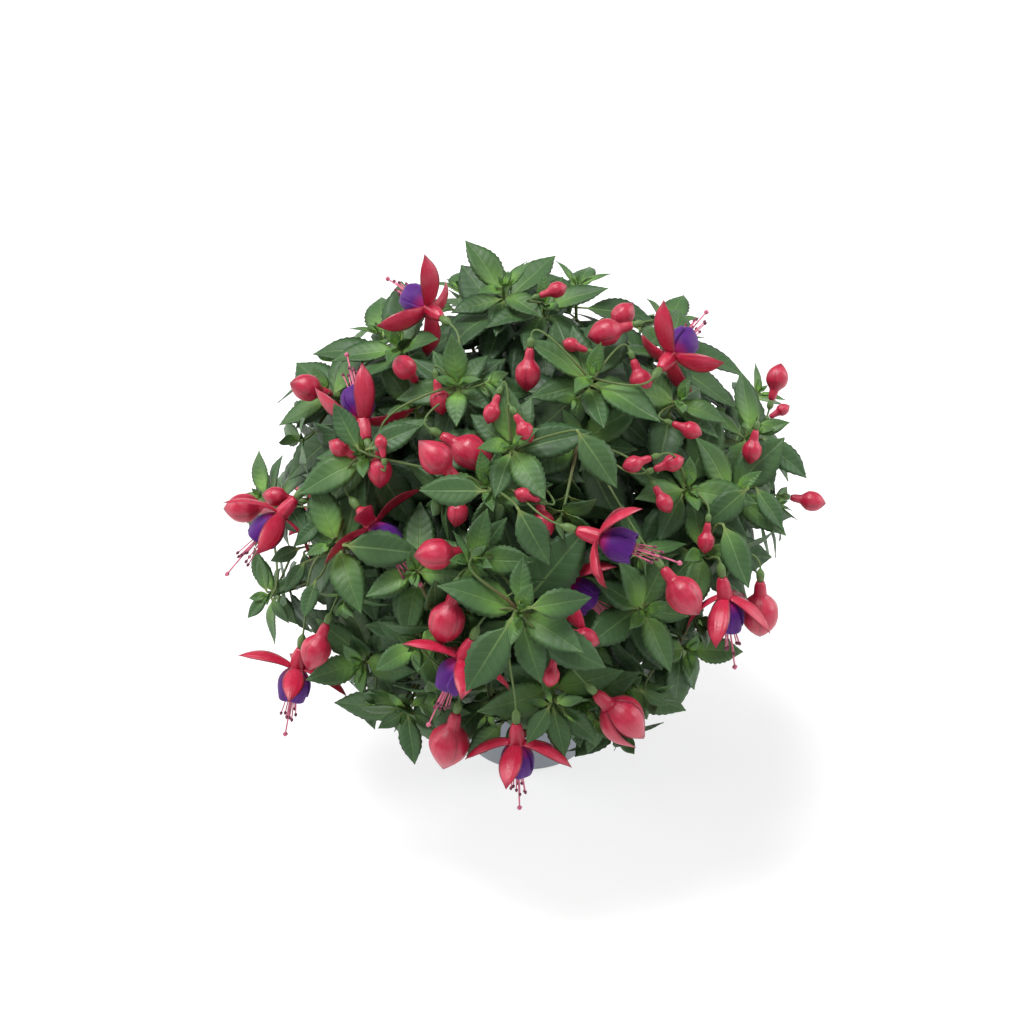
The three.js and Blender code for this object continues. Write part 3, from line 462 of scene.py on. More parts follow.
class Curve:
    """A cubic curve from its four control points."""

    def __init__(self, *controls):
        self.controls = np.array(controls)

    def at(self, t):
        s = 1 - t
        return np.array([s**3, 3 * s * s * t, 3 * s * t * t, t**3]) @ self.controls

    def along(self, t, step=1e-4):
        return unit(self.at(min(t + step, 1)) - self.at(max(t - step, 0)))

    def path(self, first, last, count):
        return np.array([self.at(t) for t in np.linspace(first, last, count)])


def square_ring(middle, axis, across, radius):
    angles = math.pi / 2 * (np.arange(4) - 0.5)
    return (middle + np.outer(np.cos(angles), across) * radius
            + np.outer(np.sin(angles), np.cross(axis, across)) * radius)


# The plant's layout

def grow_curve(start, heading, tip, seen):
    reach = np.linalg.norm(tip - start)
    ending = unit((tip - MIDDLE) / AXES / AXES) + Z * (BEND["lift"] if seen else BEND["back_lift"])
    if seen:
        ending = ending - BEND["lean"] * INTO
    leaving = start + heading * BEND["first"] * reach
    return Curve(start, leaving, tip - unit(ending) * BEND["last"] * reach, tip)


def make_shoots():
    shoots = []
    for stem, (bearing, radius), specs in STEMS:
        leader = None
        for spec in specs:
            tip = place(spec)
            if leader:
                start = leader["curve"].at(spec["fork"])
                heading = unit(leader["curve"].along(spec["fork"]) * 0.8 + unit(tip - start))
            else:
                away = level(bearing)
                start = away * radius + Z * (SOIL["top"] - SOIL["buried"])
                heading = unit(Z + away * radius / 60)
            shoot = dict(size=1, pairs=3 if leader else 5)
            shoot.update(spec, id=len(shoots), stem=stem, leader=leader,
                         curve=grow_curve(start, heading, tip, "at" in spec),
                         length=np.linalg.norm(tip - start) * BEND["length"])
            leader = leader or shoot
            shoots.append(shoot)
    return shoots


def pair_places(shoot):
    """Where a shoot's leaf pairs sit, as shares of its curve."""
    return [1 - max(back * shoot["size"], 2) / shoot["length"] for back, _, _ in PAIRS[:shoot["pairs"]]]


def shoot_radii(shoot, t):
    return lerp(STEM["fork"] if shoot["leader"] else STEM["root"], STEM["tip"], t)


def ring_shoot(shoot, shoots):
    """Gives a shoot the square rings between which its leaf pairs sit."""
    curve, length = shoot["curve"], shoot["length"]
    seen = in_picture(shoot["roll"], 0)
    end = curve.along(1)
    lean = np.clip(-np.dot(seen, end) / np.dot(INTO, end), -1.2, 1.2)
    half, wide = STEM["node"] / length, STEM["junction"] / length
    nodes = pair_places(shoot)
    forks = [s["fork"] for s in shoots if s["leader"] is shoot]
    shares = [4 / length] if shoot["leader"] else [0, 0.32]
    shares += [1] + [t + d for t in nodes for d in (-half, half)]
    shares += [t + d for t in forks for d in (-wide, wide)]
    zero = seen + INTO * lean
    rings = []
    for t in sorted(shares, reverse=True):
        axis = curve.along(t)
        zero = square(zero, axis)
        points = square_ring(curve.at(t), axis, zero, shoot_radii(shoot, t))
        rings.append(dict(t=t, axis=axis, zero=zero, points=points))
    shoot["rings"] = rings[::-1]
    shoot["nodes"] = [max(i for i, r in enumerate(shoot["rings"]) if r["t"] < t) for t in nodes]


def socket(shoot, band, side):
    """One side of a node: its corners, its middle, the way it faces and the shoot's axis there."""
    low, high = shoot["rings"][band], shoot["rings"][band + 1]
    n = (side + 1) % 4
    corners = np.array([low["points"][side], low["points"][n], high["points"][n], high["points"][side]])
    out = turned(low["zero"], low["axis"], math.pi / 2 * side)
    return dict(corners=corners, middle=corners.mean(axis=0), out=out, axis=low["axis"])


def leaf_frame(where, leaf, length, rise, size, turn):
    """A leaf's base, heading, face, length and droop where it leaves a node."""
    yaw = math.radians(swung(leaf, YAW) + turn[0])
    up = math.radians(rise + swung(leaf, RISE) + turn[1])
    heading = turned(where["out"], where["axis"], yaw) * math.cos(up) + where["axis"] * math.sin(up)
    face = square(where["axis"] * 0.8 + Z * 0.3, heading)
    face = turned(face, heading, math.radians(swung(leaf, ROLL)))
    size = length * size * varied(leaf, SIZE) * turn[2]
    return dict(number=leaf, base=where["middle"], heading=heading, face=face, size=size,
                droop=varied(leaf, DROOP))


def midrib(leaf, t):
    t = np.asarray(t, float)[..., None]
    sag = leaf["face"] * leaf["droop"] * leaf["size"] * t * t
    return leaf["base"] + leaf["heading"] * leaf["size"] * t - sag


def corner_tree(node):
    """A finder for the corners of a solid, in millimetres."""
    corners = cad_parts[node].data.vertices
    tree = KDTree(len(corners))
    for i, corner in enumerate(corners):
        tree.insert(corner.co / MM, i)
    tree.balance()
    return tree


def has_corner(stem, point):
    return trees[stem].find(Vector(point))[2] < 0.05


shoots = make_shoots()
for shoot in shoots:
    ring_shoot(shoot, shoots)
trees = {stem: corner_tree(stem) for stem, _, _ in STEMS}


def find_leaf(shoot, pair, k):
    """The leaf of a pair as its solid was turned, or None where the solids have none."""
    _, length, rise = PAIRS[pair]
    side = (k + pair + shoot["pairs"]) % 4
    where = socket(shoot, shoot["nodes"][pair], side)
    number = shoot["id"] * 10 + pair * 2 + (1 if side > 1 else 0)
    for turn in TURNS:
        leaf = leaf_frame(where, number, length, rise, shoot["size"], turn)
        if has_corner(shoot["stem"], midrib(leaf, 1)):
            leaf.update(pair=pair, shoot=shoot, socket=where)
            return leaf
    return None


def find_leaves():
    found = []
    for pair in range(len(PAIRS)):
        for shoot in shoots:
            if pair < shoot["pairs"]:
                found += [find_leaf(shoot, pair, 0), find_leaf(shoot, pair, 2)]
    return [leaf for leaf in found if leaf]


def stalk_curve(start, axis, where):
    reach = np.linalg.norm(start - where["middle"])
    leave = unit(where["out"] + Z * 0.3)
    return Curve(where["middle"], where["middle"] + leave * 0.35 * reach, start - axis * 0.4 * reach, start)


def find_stalk(flower):
    """The stem and the stalk, among the solids' own, of a bloom or bud."""
    for shoot in shoots:
        for pair, band in enumerate(shoot["nodes"]):
            for k in (1, 3):
                where = socket(shoot, band, (k + pair + shoot["pairs"]) % 4)
                curve = stalk_curve(flower["start"], flower["axis"], where)
                across = where["corners"][0] + where["corners"][1] - 2 * where["middle"]
                for t in (0.25, 0.62):
                    across = square(across, curve.along(t))
                if has_corner(shoot["stem"], square_ring(curve.at(t), curve.along(t), across, PEDICEL)[0]):
                    return shoot["stem"], curve
    raise LookupError(f"no stalk reaches {flower['start']}")


# Where new leaves find room

LENS_STATIONS = np.array([0.13, 0.28, 0.45, 0.68, 0.88, 1.0])
LENS_STALK = 0.05


def lofted_faces(rings, sides):
    """The faces that close a run of rings, with a cap at each end."""
    index = np.arange(rings * sides).reshape(rings, sides)
    after = np.roll(index, -1, axis=1)
    quads = np.stack([index[:-1], after[:-1], after[1:], index[1:]], axis=-1).reshape(-1, 4)
    return quads.tolist() + [index[0, ::-1].tolist(), index[-1].tolist()]


def leaf_widths(t, stalk):
    """Half-width shares down a leaf: a thin stalk, then an oval blade drawn out to a point."""
    return smooth(LEAF_OUTLINE, np.clip((t - stalk) / (1 - stalk), 0, 1))


def lens(leaf):
    """A leaf as a thin closed shape of few faces, to tell what it would touch."""
    half = LEAF["width"] * leaf["size"] / 2 * leaf_widths(LENS_STATIONS, LENS_STALK)[:, None]
    spine = midrib(leaf, LENS_STATIONS)
    side = np.cross(leaf["heading"], leaf["face"])
    edge = spine + LEAF["fold"] * half * leaf["face"]
    thick = CLEAR["leaf"] * leaf["face"]
    rings = np.stack([edge - half * side, spine + thick, edge + half * side, spine - thick], axis=1)
    return rings.reshape(-1, 3), lofted_faces(len(LENS_STATIONS), 4)


def tube_shape(points, radius):
    """A square tube along points, as its corners and faces."""
    points = np.asarray(points)
    axes = np.gradient(points, axis=0)
    across, corners = vec(0.3, 0.2, 1), []
    for middle, axis in zip(points, axes):
        across = square(across, unit(axis))
        corners.append(square_ring(middle, unit(axis), across, radius))
    return np.concatenate(corners), lofted_faces(len(points), 4)


def in_view(points):
    """Where points fall in the photograph's view, as slopes to the right and up."""
    away = points - EYE
    return np.stack([away @ RIGHT, away @ UP], axis=-1) / (away @ INTO)[..., None]


def in_outline(points):
    """Whether points all fall within the foliage's outline in the photograph."""
    x, y = (in_view(points) * VIEW["focal"] * (1, -1) + VIEW["middle"]).T
    inside = np.zeros(len(points), bool)
    for (ax, ay), (bx, by) in zip(OUTLINE, OUTLINE[1:] + OUTLINE[:1]):
        crosses = (ay > y) != (by > y)
        if ay != by:
            inside ^= crosses & (x < ax + (y - ay) * (bx - ax) / (by - ay))
    return inside.all()


def inside_bush(points, reach):
    return points[:, 2].min() > LOWEST_LEAF and (dome_share(points) < reach).all() and in_outline(points)


class Room:
    """The shapes that stand already, each with its box, and the points to be kept in the viewer's sight."""

    def __init__(self, most=9000):
        self.low, self.high, self.trees = np.empty((most, 3)), np.empty((most, 3)), []
        self.sights = np.empty((0, 3))

    def take(self, points, faces):
        n = len(self.trees)
        self.low[n], self.high[n] = points.min(axis=0), points.max(axis=0)
        self.trees.append(BVHTree.FromPolygons(points.tolist(), faces))

    def free(self, points, faces, hide=False):
        """Whether a shape would touch nothing and, unless it may hide some, hide no point to be seen."""
        n = len(self.trees)
        low, high = points.min(axis=0), points.max(axis=0)
        near = np.flatnonzero(((self.low[:n] <= high) & (self.high[:n] >= low)).all(axis=1))
        tree = BVHTree.FromPolygons(points.tolist(), faces)
        return not any(self.trees[i].overlap(tree) for i in near) and (hide or not self.hides(points, tree))

    def watch(self, points):
        self.sights = np.vstack([self.sights, points])

    def hides(self, points, tree):
        seen, aim = in_view(self.sights), in_view(points)
        inside = ((seen >= aim.min(axis=0)) & (seen <= aim.max(axis=0))).all(axis=1)
        for target in self.sights[inside]:
            ray = target - EYE
            far = np.linalg.norm(ray)
            if tree.ray_cast(Vector(EYE), Vector(ray / far), far)[0]:
                return True
        return False


room = Room()


def grow_leaf(where, number, length, rise, size, turns=TURNS, reach=1.0):
    """A leaf turned aside until it has room, or None."""
    for turn in turns:
        leaf = leaf_frame(where, number, length, rise, size, turn)
        points, faces = lens(leaf)
        if inside_bush(points, reach) and room.free(points, faces):
            room.take(points, faces)
            return leaf
    return None


def node_on(shoot, t, angle):
    """A place on a shoot and the way that a leaf there faces, turned so far from its node's own."""
    ring = min(shoot["rings"], key=lambda r: abs(r["t"] - t))
    axis = shoot["curve"].along(t)
    out = turned(square(ring["zero"], axis), axis, math.radians(angle))
    return dict(middle=shoot["curve"].at(t) + out * STEM["tip"] * 0.8, out=out, axis=axis)


def grow_whorls(shoot):
    """The leaves between a shoot's pairs, and those that unfold at its tip."""
    grown = []
    lowest = LOWEST_WHORL["side" if shoot["leader"] else "leader"]
    for step, (back, length, rise) in enumerate(BETWEEN):
        t = 1 - back * shoot["size"] / shoot["length"]
        if t < lowest:
            break
        for k in range(4):
            number = FIRST["whorls"] + shoot["id"] * 40 + step * 4 + k
            leaf = grow_leaf(node_on(shoot, t, 45 + 90 * k), number, length, rise, shoot["size"])
            if leaf:
                leaf.update(young=YOUNG_WHORL if step == 0 else 0.0)
                grown.append(leaf)
    for step, (back, length, rise) in enumerate(UNFOLDING):
        for k in range(2):
            number = FIRST["unfolding"] + shoot["id"] * 4 + step * 2 + k
            where = node_on(shoot, 1 - back / shoot["length"], 90 * step + 180 * k + 90 * shoot["pairs"])
            leaf = leaf_frame(where, number, length, rise, 1, TURNS[0])
            leaf.update(young=1.0)
            grown.append(leaf)
    return grown


def nearest_wood(tip, axis):
    """The curve of the shortest stalk or shoot with room that runs from some wood to a tip along an axis."""
    choices = []
    depth = dome_share(tip) - WOOD["below"]
    for shoot in shoots:
        for t in np.linspace(*WOOD["starts"]):
            start = shoot["curve"].at(t)
            aside = tip - start
            reach = np.linalg.norm(aside)
            if reach > WOOD["shortest"]:
                outside = max(0, dome_share(start) - depth)
                cost = WOOD["length"] * reach - WOOD["behind"] * np.dot(axis, aside)
                cost += WOOD["outside"] * outside
                choices.append((cost, shoot["id"], t, start, reach))
    for _, shoot, _, start, reach in sorted(choices, key=lambda c: c[:3])[:WOOD["tries"]]:
        leave = unit(unit(tip - start) + Z * WOOD["rise"])
        curve = Curve(start, start + leave * 0.35 * reach, tip - axis * min(0.35 * reach, 12), tip)
        if room.free(*tube_shape(curve.path(0.25, 0.9, 5), CLEAR["stalk"])):
            return shoots[shoot]["stem"], curve
    return None


def grow_spray(pixel, reach, size, droop, number):
    """A short leafy shoot that hangs or leans the way that it is pointed in the picture."""
    found = nearest_wood(on_dome(pixel, reach), in_picture(droop, 0))
    if not found:
        return None
    stem, curve = found
    length = np.linalg.norm(curve.at(1) - curve.at(0)) * BEND["length"]
    leaves = []
    for step, (back, leaf_length, rise) in enumerate(SPRAY_PAIRS):
        t = 1 - back * size / length
        if t < SPRAY["lowest"]:
            break
        along = curve.along(t)
        zero = square(RIGHT + UP * 0.3, along)
        for k in range(2 if step < 2 else 4):
            angle = 90 * step + 180 * k if step < 2 else 45 * step + 90 * k
            out = turned(zero, along, math.radians(angle))
            where = dict(middle=curve.at(t) + out * SPRAY["off"], out=out, axis=along)
            leaf_number = number * 20 + step * 4 + k
            leaf = grow_leaf(where, leaf_number, leaf_length, rise, size, reach=SPRAY["reach"])
            if leaf:
                leaf.update(young=max(0.0, 1.0 - OLDER * step))
                leaves.append(leaf)
    room.take(*tube_shape(curve.path(0.1, 1, 8), CLEAR["stalk"]))
    return stem, curve, leaves


def cover_leaf(base_pixel, tip_pixel, reach):
    """A leaf from one pixel to another, moved in or out until it has room."""
    for lift in LIFTS:
        base = on_dome(base_pixel, reach + lift)
        heading = beside(tip_pixel, base) - base
        size = np.linalg.norm(heading)
        heading /= size
        face = square(unit((base - MIDDLE) / AXES / AXES) - INTO, heading)
        leaf = dict(base=base, heading=heading, face=face, size=size, droop=COVER_DROOP)
        points, faces = lens(leaf)
        if room.free(points, faces, True):
            room.take(points, faces)
            return leaf
    raise LookupError(f"no room for a leaf at {base_pixel}")


def cover_stalk(leaf):
    """The stem and the stalk of a cover leaf, straight from the nearest wood where no other way is free."""
    base = leaf["base"]
    found = nearest_wood(base, unit(unit((base - MIDDLE) / AXES) + 0.4 * leaf["heading"]))
    if found:
        return found
    _, shoot, t = min((np.linalg.norm(base - s["curve"].at(t)), s["id"], t)
                      for s in shoots for t in np.linspace(0.3, 1, 40))
    start = shoots[shoot]["curve"].at(t)
    return shoots[shoot]["stem"], Curve(start, lerp(start, base, 0.3), lerp(start, base, 0.7), base)


def grow_sprig(where, number):
    """A short side shoot from a leaf's axil, or None where there is no room for it."""
    length = lerp(SPRIG["shortest"], SPRIG["longest"], draw(number, 1))
    heading = unit(where["out"] + where["axis"] * lerp(0.5, 1.1, draw(number, 2)))
    start = where["middle"]
    tip = start + heading * length + Z * 0.15 * length
    curve = Curve(start, start + heading * 0.4 * length, tip - unit(tip - start) * 0.3 * length, tip)
    across = square(Z + RIGHT * 0.1, heading)
    stem = np.concatenate([square_ring(curve.at(t), heading, across, CLEAR["sprig"]) for t in (0.25, 0.6, 1)])
    faces = lofted_faces(3, 4)
    if not inside_bush(stem, SPRIG["wood_reach"]) or not room.free(stem, faces):
        return None
    zero = square(Z + RIGHT * 0.1, curve.along(1))
    turns = TURNS[:SPRIG["turns"]]
    leaves = []
    for step, (back, leaf_length, rise) in enumerate(SPRIG_PAIRS):
        t = 1 - back / length
        axis = curve.along(t)
        for k in range(2):
            out = turned(square(zero, axis), axis, math.pi * (k + 0.5 * step))
            where = dict(middle=curve.at(t), out=out, axis=axis)
            leaf_number = number * 8 + step * 2 + k
            leaf = grow_leaf(where, leaf_number, leaf_length, rise, 1, turns, SPRIG["reach"])
            if leaf:
                leaf.update(young=1.0 - OLDER * step)
                leaves.append(leaf)
    if len(leaves) < SPRIG["least_leaves"]:
        return None
    room.take(stem, faces)
    return curve, leaves


# Meshes

class Mesh:
    """Gathers closed surfaces ring by ring, each point with its place on the surface and its kind."""

    def __init__(self):
        self.points, self.places, self.kinds, self.faces, self.looks = [], [], [], [], []
        self.count = 0

    def loft(self, rings, places, kind, look=0):
        """rings and places are (rings, sides, 3) arrays; kind is one triple or an array like them."""
        faces = lofted_faces(*rings.shape[:2])
        self.points.append(rings.reshape(-1, 3))
        self.places.append(np.broadcast_to(places, rings.shape).reshape(-1, 3))
        self.kinds.append(np.broadcast_to(kind, rings.shape).reshape(-1, 3))
        self.faces += [[self.count + i for i in face] for face in faces]
        self.looks += [look] * len(faces)
        self.count += rings.shape[0] * rings.shape[1]

    def shape(self):
        return np.concatenate(self.points), self.faces

    def build(self, name, materials, slot, *nodes):
        mesh = bpy.data.meshes.new(name)
        mesh.from_pydata((np.concatenate(self.points) * MM).tolist(), [], self.faces)
        for label, rows in (("place", self.places), ("kind", self.kinds)):
            layer = mesh.attributes.new(label, "FLOAT_VECTOR", "POINT")
            layer.data.foreach_set("vector", np.concatenate(rows).astype(np.float32).ravel())
        for material in materials:
            mesh.materials.append(looks[material])
        mesh.polygons.foreach_set("material_index", self.looks)
        mesh.polygons.foreach_set("use_smooth", [True] * len(self.faces))
        mesh.validate()
        piece = bpy.data.objects.new(name, mesh)
        bpy.context.scene.collection.objects.link(piece)
        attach(piece, "root")
        if nodes:
            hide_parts(*nodes)
        return piece


def circle(sides):
    return 2 * np.pi * np.arange(sides) / sides


def triples(*parts):
    """Three arrays of numbers, stretched to one shape, as an array of triples."""
    return np.stack(np.broadcast_arrays(*parts), axis=-1)


def around(u):
    """A section's stations there and back, and 1 or -1 for its upper or lower face."""
    both = np.concatenate([u, u[-2:0:-1]])
    return both, np.where(np.arange(len(both)) < len(u), 1.0, -1.0)


def rounded(u, upper):
    """Half a section's thickness at each station, as shares of the thickest."""
    return np.sqrt(np.clip(1 - u**2, 0, 1)) * upper


def shell(outer, inner):
    """The rings of a closed sheet from those of its two faces."""
    return np.concatenate([outer, inner[:, -2:0:-1]], axis=1)


def upright(axis):
    """The way square to an axis that is nearest to up."""
    return square(Z if abs(axis[2]) < 0.9 else UP, axis)


def tube(mesh, path, radii, sides, kind=(0.0, 0.0, 0.0), look=0, ridges=0, ridge=0.0, across=None):
    """A tube of varying radius along a path. place is angle, length run in mm and share of the run."""
    path = np.asarray(path, float)
    axes = np.gradient(path, axis=0)
    axes /= np.linalg.norm(axes, axis=1)[:, None]
    if across is None:
        across = vec(0.3, 0.2, 1) if abs(axes[0][2]) < 0.8 else vec(1, 0.2, 0)
    angles = circle(sides)
    rings = []
    for middle, axis, radius in zip(path, axes, radii):
        across = square(across, axis)
        other = np.cross(axis, across)
        r = radius * (1 + ridge * np.cos(ridges * angles))
        rings.append(middle + np.outer(np.cos(angles) * r, across) + np.outer(np.sin(angles) * r, other))
    run = np.concatenate([[0], np.cumsum(np.linalg.norm(np.diff(path, axis=0), axis=1))])
    places = triples(angles / (2 * np.pi), run[:, None], (run / run[-1])[:, None])
    kinds = np.asarray(kind, float)
    mesh.loft(np.array(rings), places, kinds[:, None, :] if kinds.ndim == 2 else kinds, look)


# Leaves and twigs, whose meshes have two looks

LEAFY, WOODY = range(2)

# A leaf's stalk as a share of its length, by its size
STALKS = dict(large=0.13, middle=0.06, small=0.03)

# A blade's thickness at its stalk and beyond in mm and the share of it at the tip, the least half widths of
# stalk and tip in mm, the height of its teeth and waves as shares of its half width, and its waves' turn
BLADE = dict(stalk=1.1, thin=0.34, tip=0.6, stalk_width=(0.75, 0.5), tip_width=0.1, teeth=0.04, wave=0.05,
             waves=9)


def add_leaf(mesh, leaf, steps=24, across=6):
    """A folded and slightly waved blade with toothed edges, on its stalk."""
    size, number = leaf["size"], leaf["number"]
    stalk = STALKS["large" if size > LEAF["large"] else "middle" if size > LEAF["small"] else "small"]
    t = np.concatenate([[-0.01, stalk * 0.5], np.linspace(stalk, 0.995, steps)])
    half = LEAF["width"] * size / 2
    least = np.where(t < 0.5, lerp(*BLADE["stalk_width"], t / 0.5), BLADE["tip_width"])
    widths = np.maximum(half * leaf_widths(t, stalk), least)
    thick = lerp(BLADE["stalk"], BLADE["thin"], np.clip(widths / half * 4, 0, 1))
    thick = thick * np.where(t > 0.9, BLADE["tip"], 1)
    fold = LEAF["fold"] * varied(number, FOLD)
    wave = BLADE["wave"] * half * np.sin(t * BLADE["waves"] + FULL_TURN * draw(number, WAVE))[:, None]
    spine = midrib(leaf, t) + wave * leaf["face"]
    u, upper = around(np.linspace(-1, 1, across + 1))
    w = widths[:, None]
    height = w * (fold * (2 * np.abs(u) - u**2)) + 0.5 * thick[:, None] * rounded(u, upper)
    if size > LEAF["small"]:
        w = w * (1 + BLADE["teeth"] * np.where(np.arange(len(t)) % 2, 1, -1)[:, None] * (np.abs(u) > 0.99))
    side = np.cross(leaf["heading"], leaf["face"])
    rings = spine[:, None, :] + (w * u)[..., None] * side + height[..., None] * leaf["face"]
    # the third number, how deep in the dome the leaf sits, sets the painted shade of the leaf look
    tone = (leaf["young"], draw(number, TONE), dome_share(midrib(leaf, 0.5)))
    mesh.loft(rings, triples(w * u / np.max(widths), t[:, None], upper), tone, LEAFY)


def add_twig(mesh, curve, steps, radii, ages):
    """A twig or stalk whose radius and age run evenly from first to last."""
    kinds = triples(np.linspace(*ages, steps), 0.0, 0.0)
    tube(mesh, curve.path(0, 1, steps), np.linspace(*radii, steps), 8, kinds, WOODY)


def add_wood(mesh, shoot):
    """A shoot's bark, green at its tip and slightly swollen where its leaves sit."""
    steps = max(18, int(shoot["length"] / 3.5))
    t = np.linspace(0, 1, steps)
    radii = shoot_radii(shoot, t) * 0.88
    for at in pair_places(shoot):
        radii = radii + 0.25 * np.exp(-((t - at) * shoot["length"] / 1.6)**2)
    kinds = triples(lerp(0.3 if shoot["leader"] else 0.0, 1.0, t**1.3), 0.0, 0.0)
    tube(mesh, shoot["curve"].path(0, 1, steps), radii, 10, kinds, WOODY)


# Flowers, whose calyx mesh has four looks

RED, FILAMENT, ANTHER, STIGMA = range(4)

# A sepal's share of its arch that turns back, its thickness in mm, and how its sides curl and its face waves
SEPAL_FORM = dict(back=0.45, thick=0.7, power=1.6, wave=0.03)

# The stamens' number, the least shares of reach and spread, and how far from the axis they start and how
# they bend away from it
STAMENS = dict(count=8, shortest=0.78, straightest=0.35, start=1.2, bend=1.6)

# A bud's seams and ribs as shares of its radius, and how far down its swelling they are whole and it opens
BUD_FORM = dict(seam=-0.035, seam_width=0.13, rib=0.012, whole=0.3, opens=0.2)

# The kinds by which the red looks tell a sepal and a bud's swelling from a tube
STRAP = (0.0, 0.0, 1.0)
SWELLING = (0.0, 1.0, 1.0)

# The rings of a sepal that leaves may not hide, a petal's stations across and down, a bud's rings and the
# shares of its length that leaves may not hide
SEPAL_WATCHED = dict(middle=[13], ends=[6, 19])
PETAL_STATIONS = (15, 16)
NECK_RINGS = 6
BUD_RINGS = 24
BUD_WATCHED = (0.2, 0.45, 0.8)


def add_sepal(mesh, middle, axis, out, opening):
    """A pointed strap that opens from the collar on a round arch."""
    arch = math.radians(SEPAL["arch"])
    first = math.radians(opening) + SEPAL_FORM["back"] * arch
    t = np.linspace(0, 1, 22)
    turn = first - arch * t
    arc = SEPAL["length"] / arch
    spine = (middle + np.outer(np.cos(turn) - math.cos(first), out) * arc
             + np.outer(math.sin(first) - np.sin(turn), axis) * arc)
    side = np.cross(out, axis)
    face = np.outer(np.sin(turn), axis) - np.outer(np.cos(turn), out)
    widths = SEPAL["width"] / 2 * smooth(SEPAL_PROFILE, t)
    u, upper = around(np.linspace(-1, 1, 9))
    thick = SEPAL_FORM["thick"] * np.minimum(1, 6 * (1.02 - t))[:, None]
    curl = SEPAL["fold"] * np.abs(u)**SEPAL_FORM["power"] + SEPAL_FORM["wave"] * np.cos(u * 3 * math.pi)
    height = widths[:, None] * curl + 0.5 * thick * rounded(u, upper)
    rings = spine[:, None] + (widths[:, None] * u)[..., None] * side + height[..., None] * face[:, None]
    mesh.loft(rings, triples(u, t[:, None], upper), STRAP, RED)
    return rings


def add_stamen(mesh, throat, axis, across, k, number):
    """A fine filament that leans out of the throat, with its anther."""
    out = turned(across, axis, 2 * math.pi * (k + 0.6 * draw(number, 1)) / STAMENS["count"])
    far = STAMEN["reach"] * lerp(STAMENS["shortest"], 1, draw(number, 2))
    aside = STAMEN["spread"] * lerp(STAMENS["straightest"], 1, draw(number, 3))
    t = np.linspace(0, 1, 12)
    off = STAMENS["start"] + (aside - STAMENS["start"]) * t**STAMENS["bend"]
    path = throat + np.outer(t * far, axis) + np.outer(off, out)
    tube(mesh, path, np.full(12, FILAMENT_RADIUS), 6, look=FILAMENT)
    head = unit(path[-1] - path[-2])
    anther = path[-1] + np.outer(np.linspace(-0.6, 1.7, len(ANTHER_PROFILE)), head)
    tube(mesh, anther, ANTHER_RADIUS * vec(*ANTHER_PROFILE), 8, look=ANTHER)


def add_style(mesh, throat, axis, across):
    """The long style with its lobed stigma."""
    t = np.linspace(0, 1, 12)
    path = throat + np.outer(t * (STAMEN["style"] - 1.5), axis) + np.outer(0.8 * np.sin(t * 2.4), across)
    tube(mesh, path, np.full(12, STYLE_RADIUS), 8, look=FILAMENT)
    head = unit(path[-1] - path[-2])
    stigma = path[-1] + np.outer(np.linspace(-0.4, 2.4, len(STIGMA_RADII)), head)
    tube(mesh, stigma, STIGMA_RADII, 12, look=STIGMA, ridges=4, ridge=0.12)


def add_petal(mesh, throat, axis, across, k, number):
    """One rolled petal: its near edge lies over its neighbour's far edge."""
    wide, deep = PETAL_STATIONS
    least, span = PETAL["opening"]
    half = math.radians(least + span * draw(number, 1))
    u = np.linspace(-1, 1, wide)
    s = np.linspace(0, 1, deep)[:, None]
    reach = COROLLA * (PETAL["length"] - PETAL["corner"] * np.abs(u)**3)
    run = GAP + s * (reach - GAP)
    radius = smooth(PETAL_PROFILE, run)
    ruffle = PETAL["ruffle"] * s**3 * np.sin(5 * u + FULL_TURN * draw(number, 2))
    radius = radius + PETAL["tilt"] * u + ruffle
    angle = math.pi / 4 * (2 * k + 1) + half * u
    out = np.cos(angle)[:, None] * across + np.sin(angle)[:, None] * np.cross(axis, across)
    outer = throat + run[..., None] * axis + radius[..., None] * out
    inner = throat + run[..., None] * axis + (radius - PETAL["sheet"])[..., None] * out
    both, upper = around(u)
    mesh.loft(shell(outer, inner), triples(both, s, upper), (draw(number, 3), 0.0, 0.0))


def add_calyx(mesh, throat, axis, across, openings):
    """The calyx tube with its sepals. Gives back each sepal's rings."""
    back = np.linspace(-TUBE["length"], 0, 18)
    profile = [(share * TUBE["length"], radius) for share, radius in TUBE_PROFILE]
    path = throat + np.outer(back, axis)
    tube(mesh, path, smooth(profile, back), 32, ridges=8, ridge=0.035, across=across)
    sepals = []
    for k, opening in enumerate(openings):
        out = turned(across, axis, math.pi / 2 * k)
        middle = throat - axis * TUBE["collar"] / 2 + out * TUBE["sepals"] * TUBE["radius"]
        sepals.append(add_sepal(mesh, middle, axis, out, opening))
    return sepals


def watch_bloom(throat, axis, sepals, whole):
    """Keeps a bloom in sight, the whole of it or only its upper half."""
    room.watch(throat + np.outer([-0.6 * TUBE["length"], 0, 0.3 * COROLLA], axis))
    if whole:
        room.watch(throat + np.outer([0.9 * COROLLA, 0.8 * STAMEN["reach"], STAMEN["style"]], axis))
        room.watch(np.concatenate([rings[SEPAL_WATCHED["ends"]].mean(axis=1) for rings in sepals]))
    room.watch(np.concatenate([rings[SEPAL_WATCHED["middle"]].mean(axis=1) for rings in sepals]))


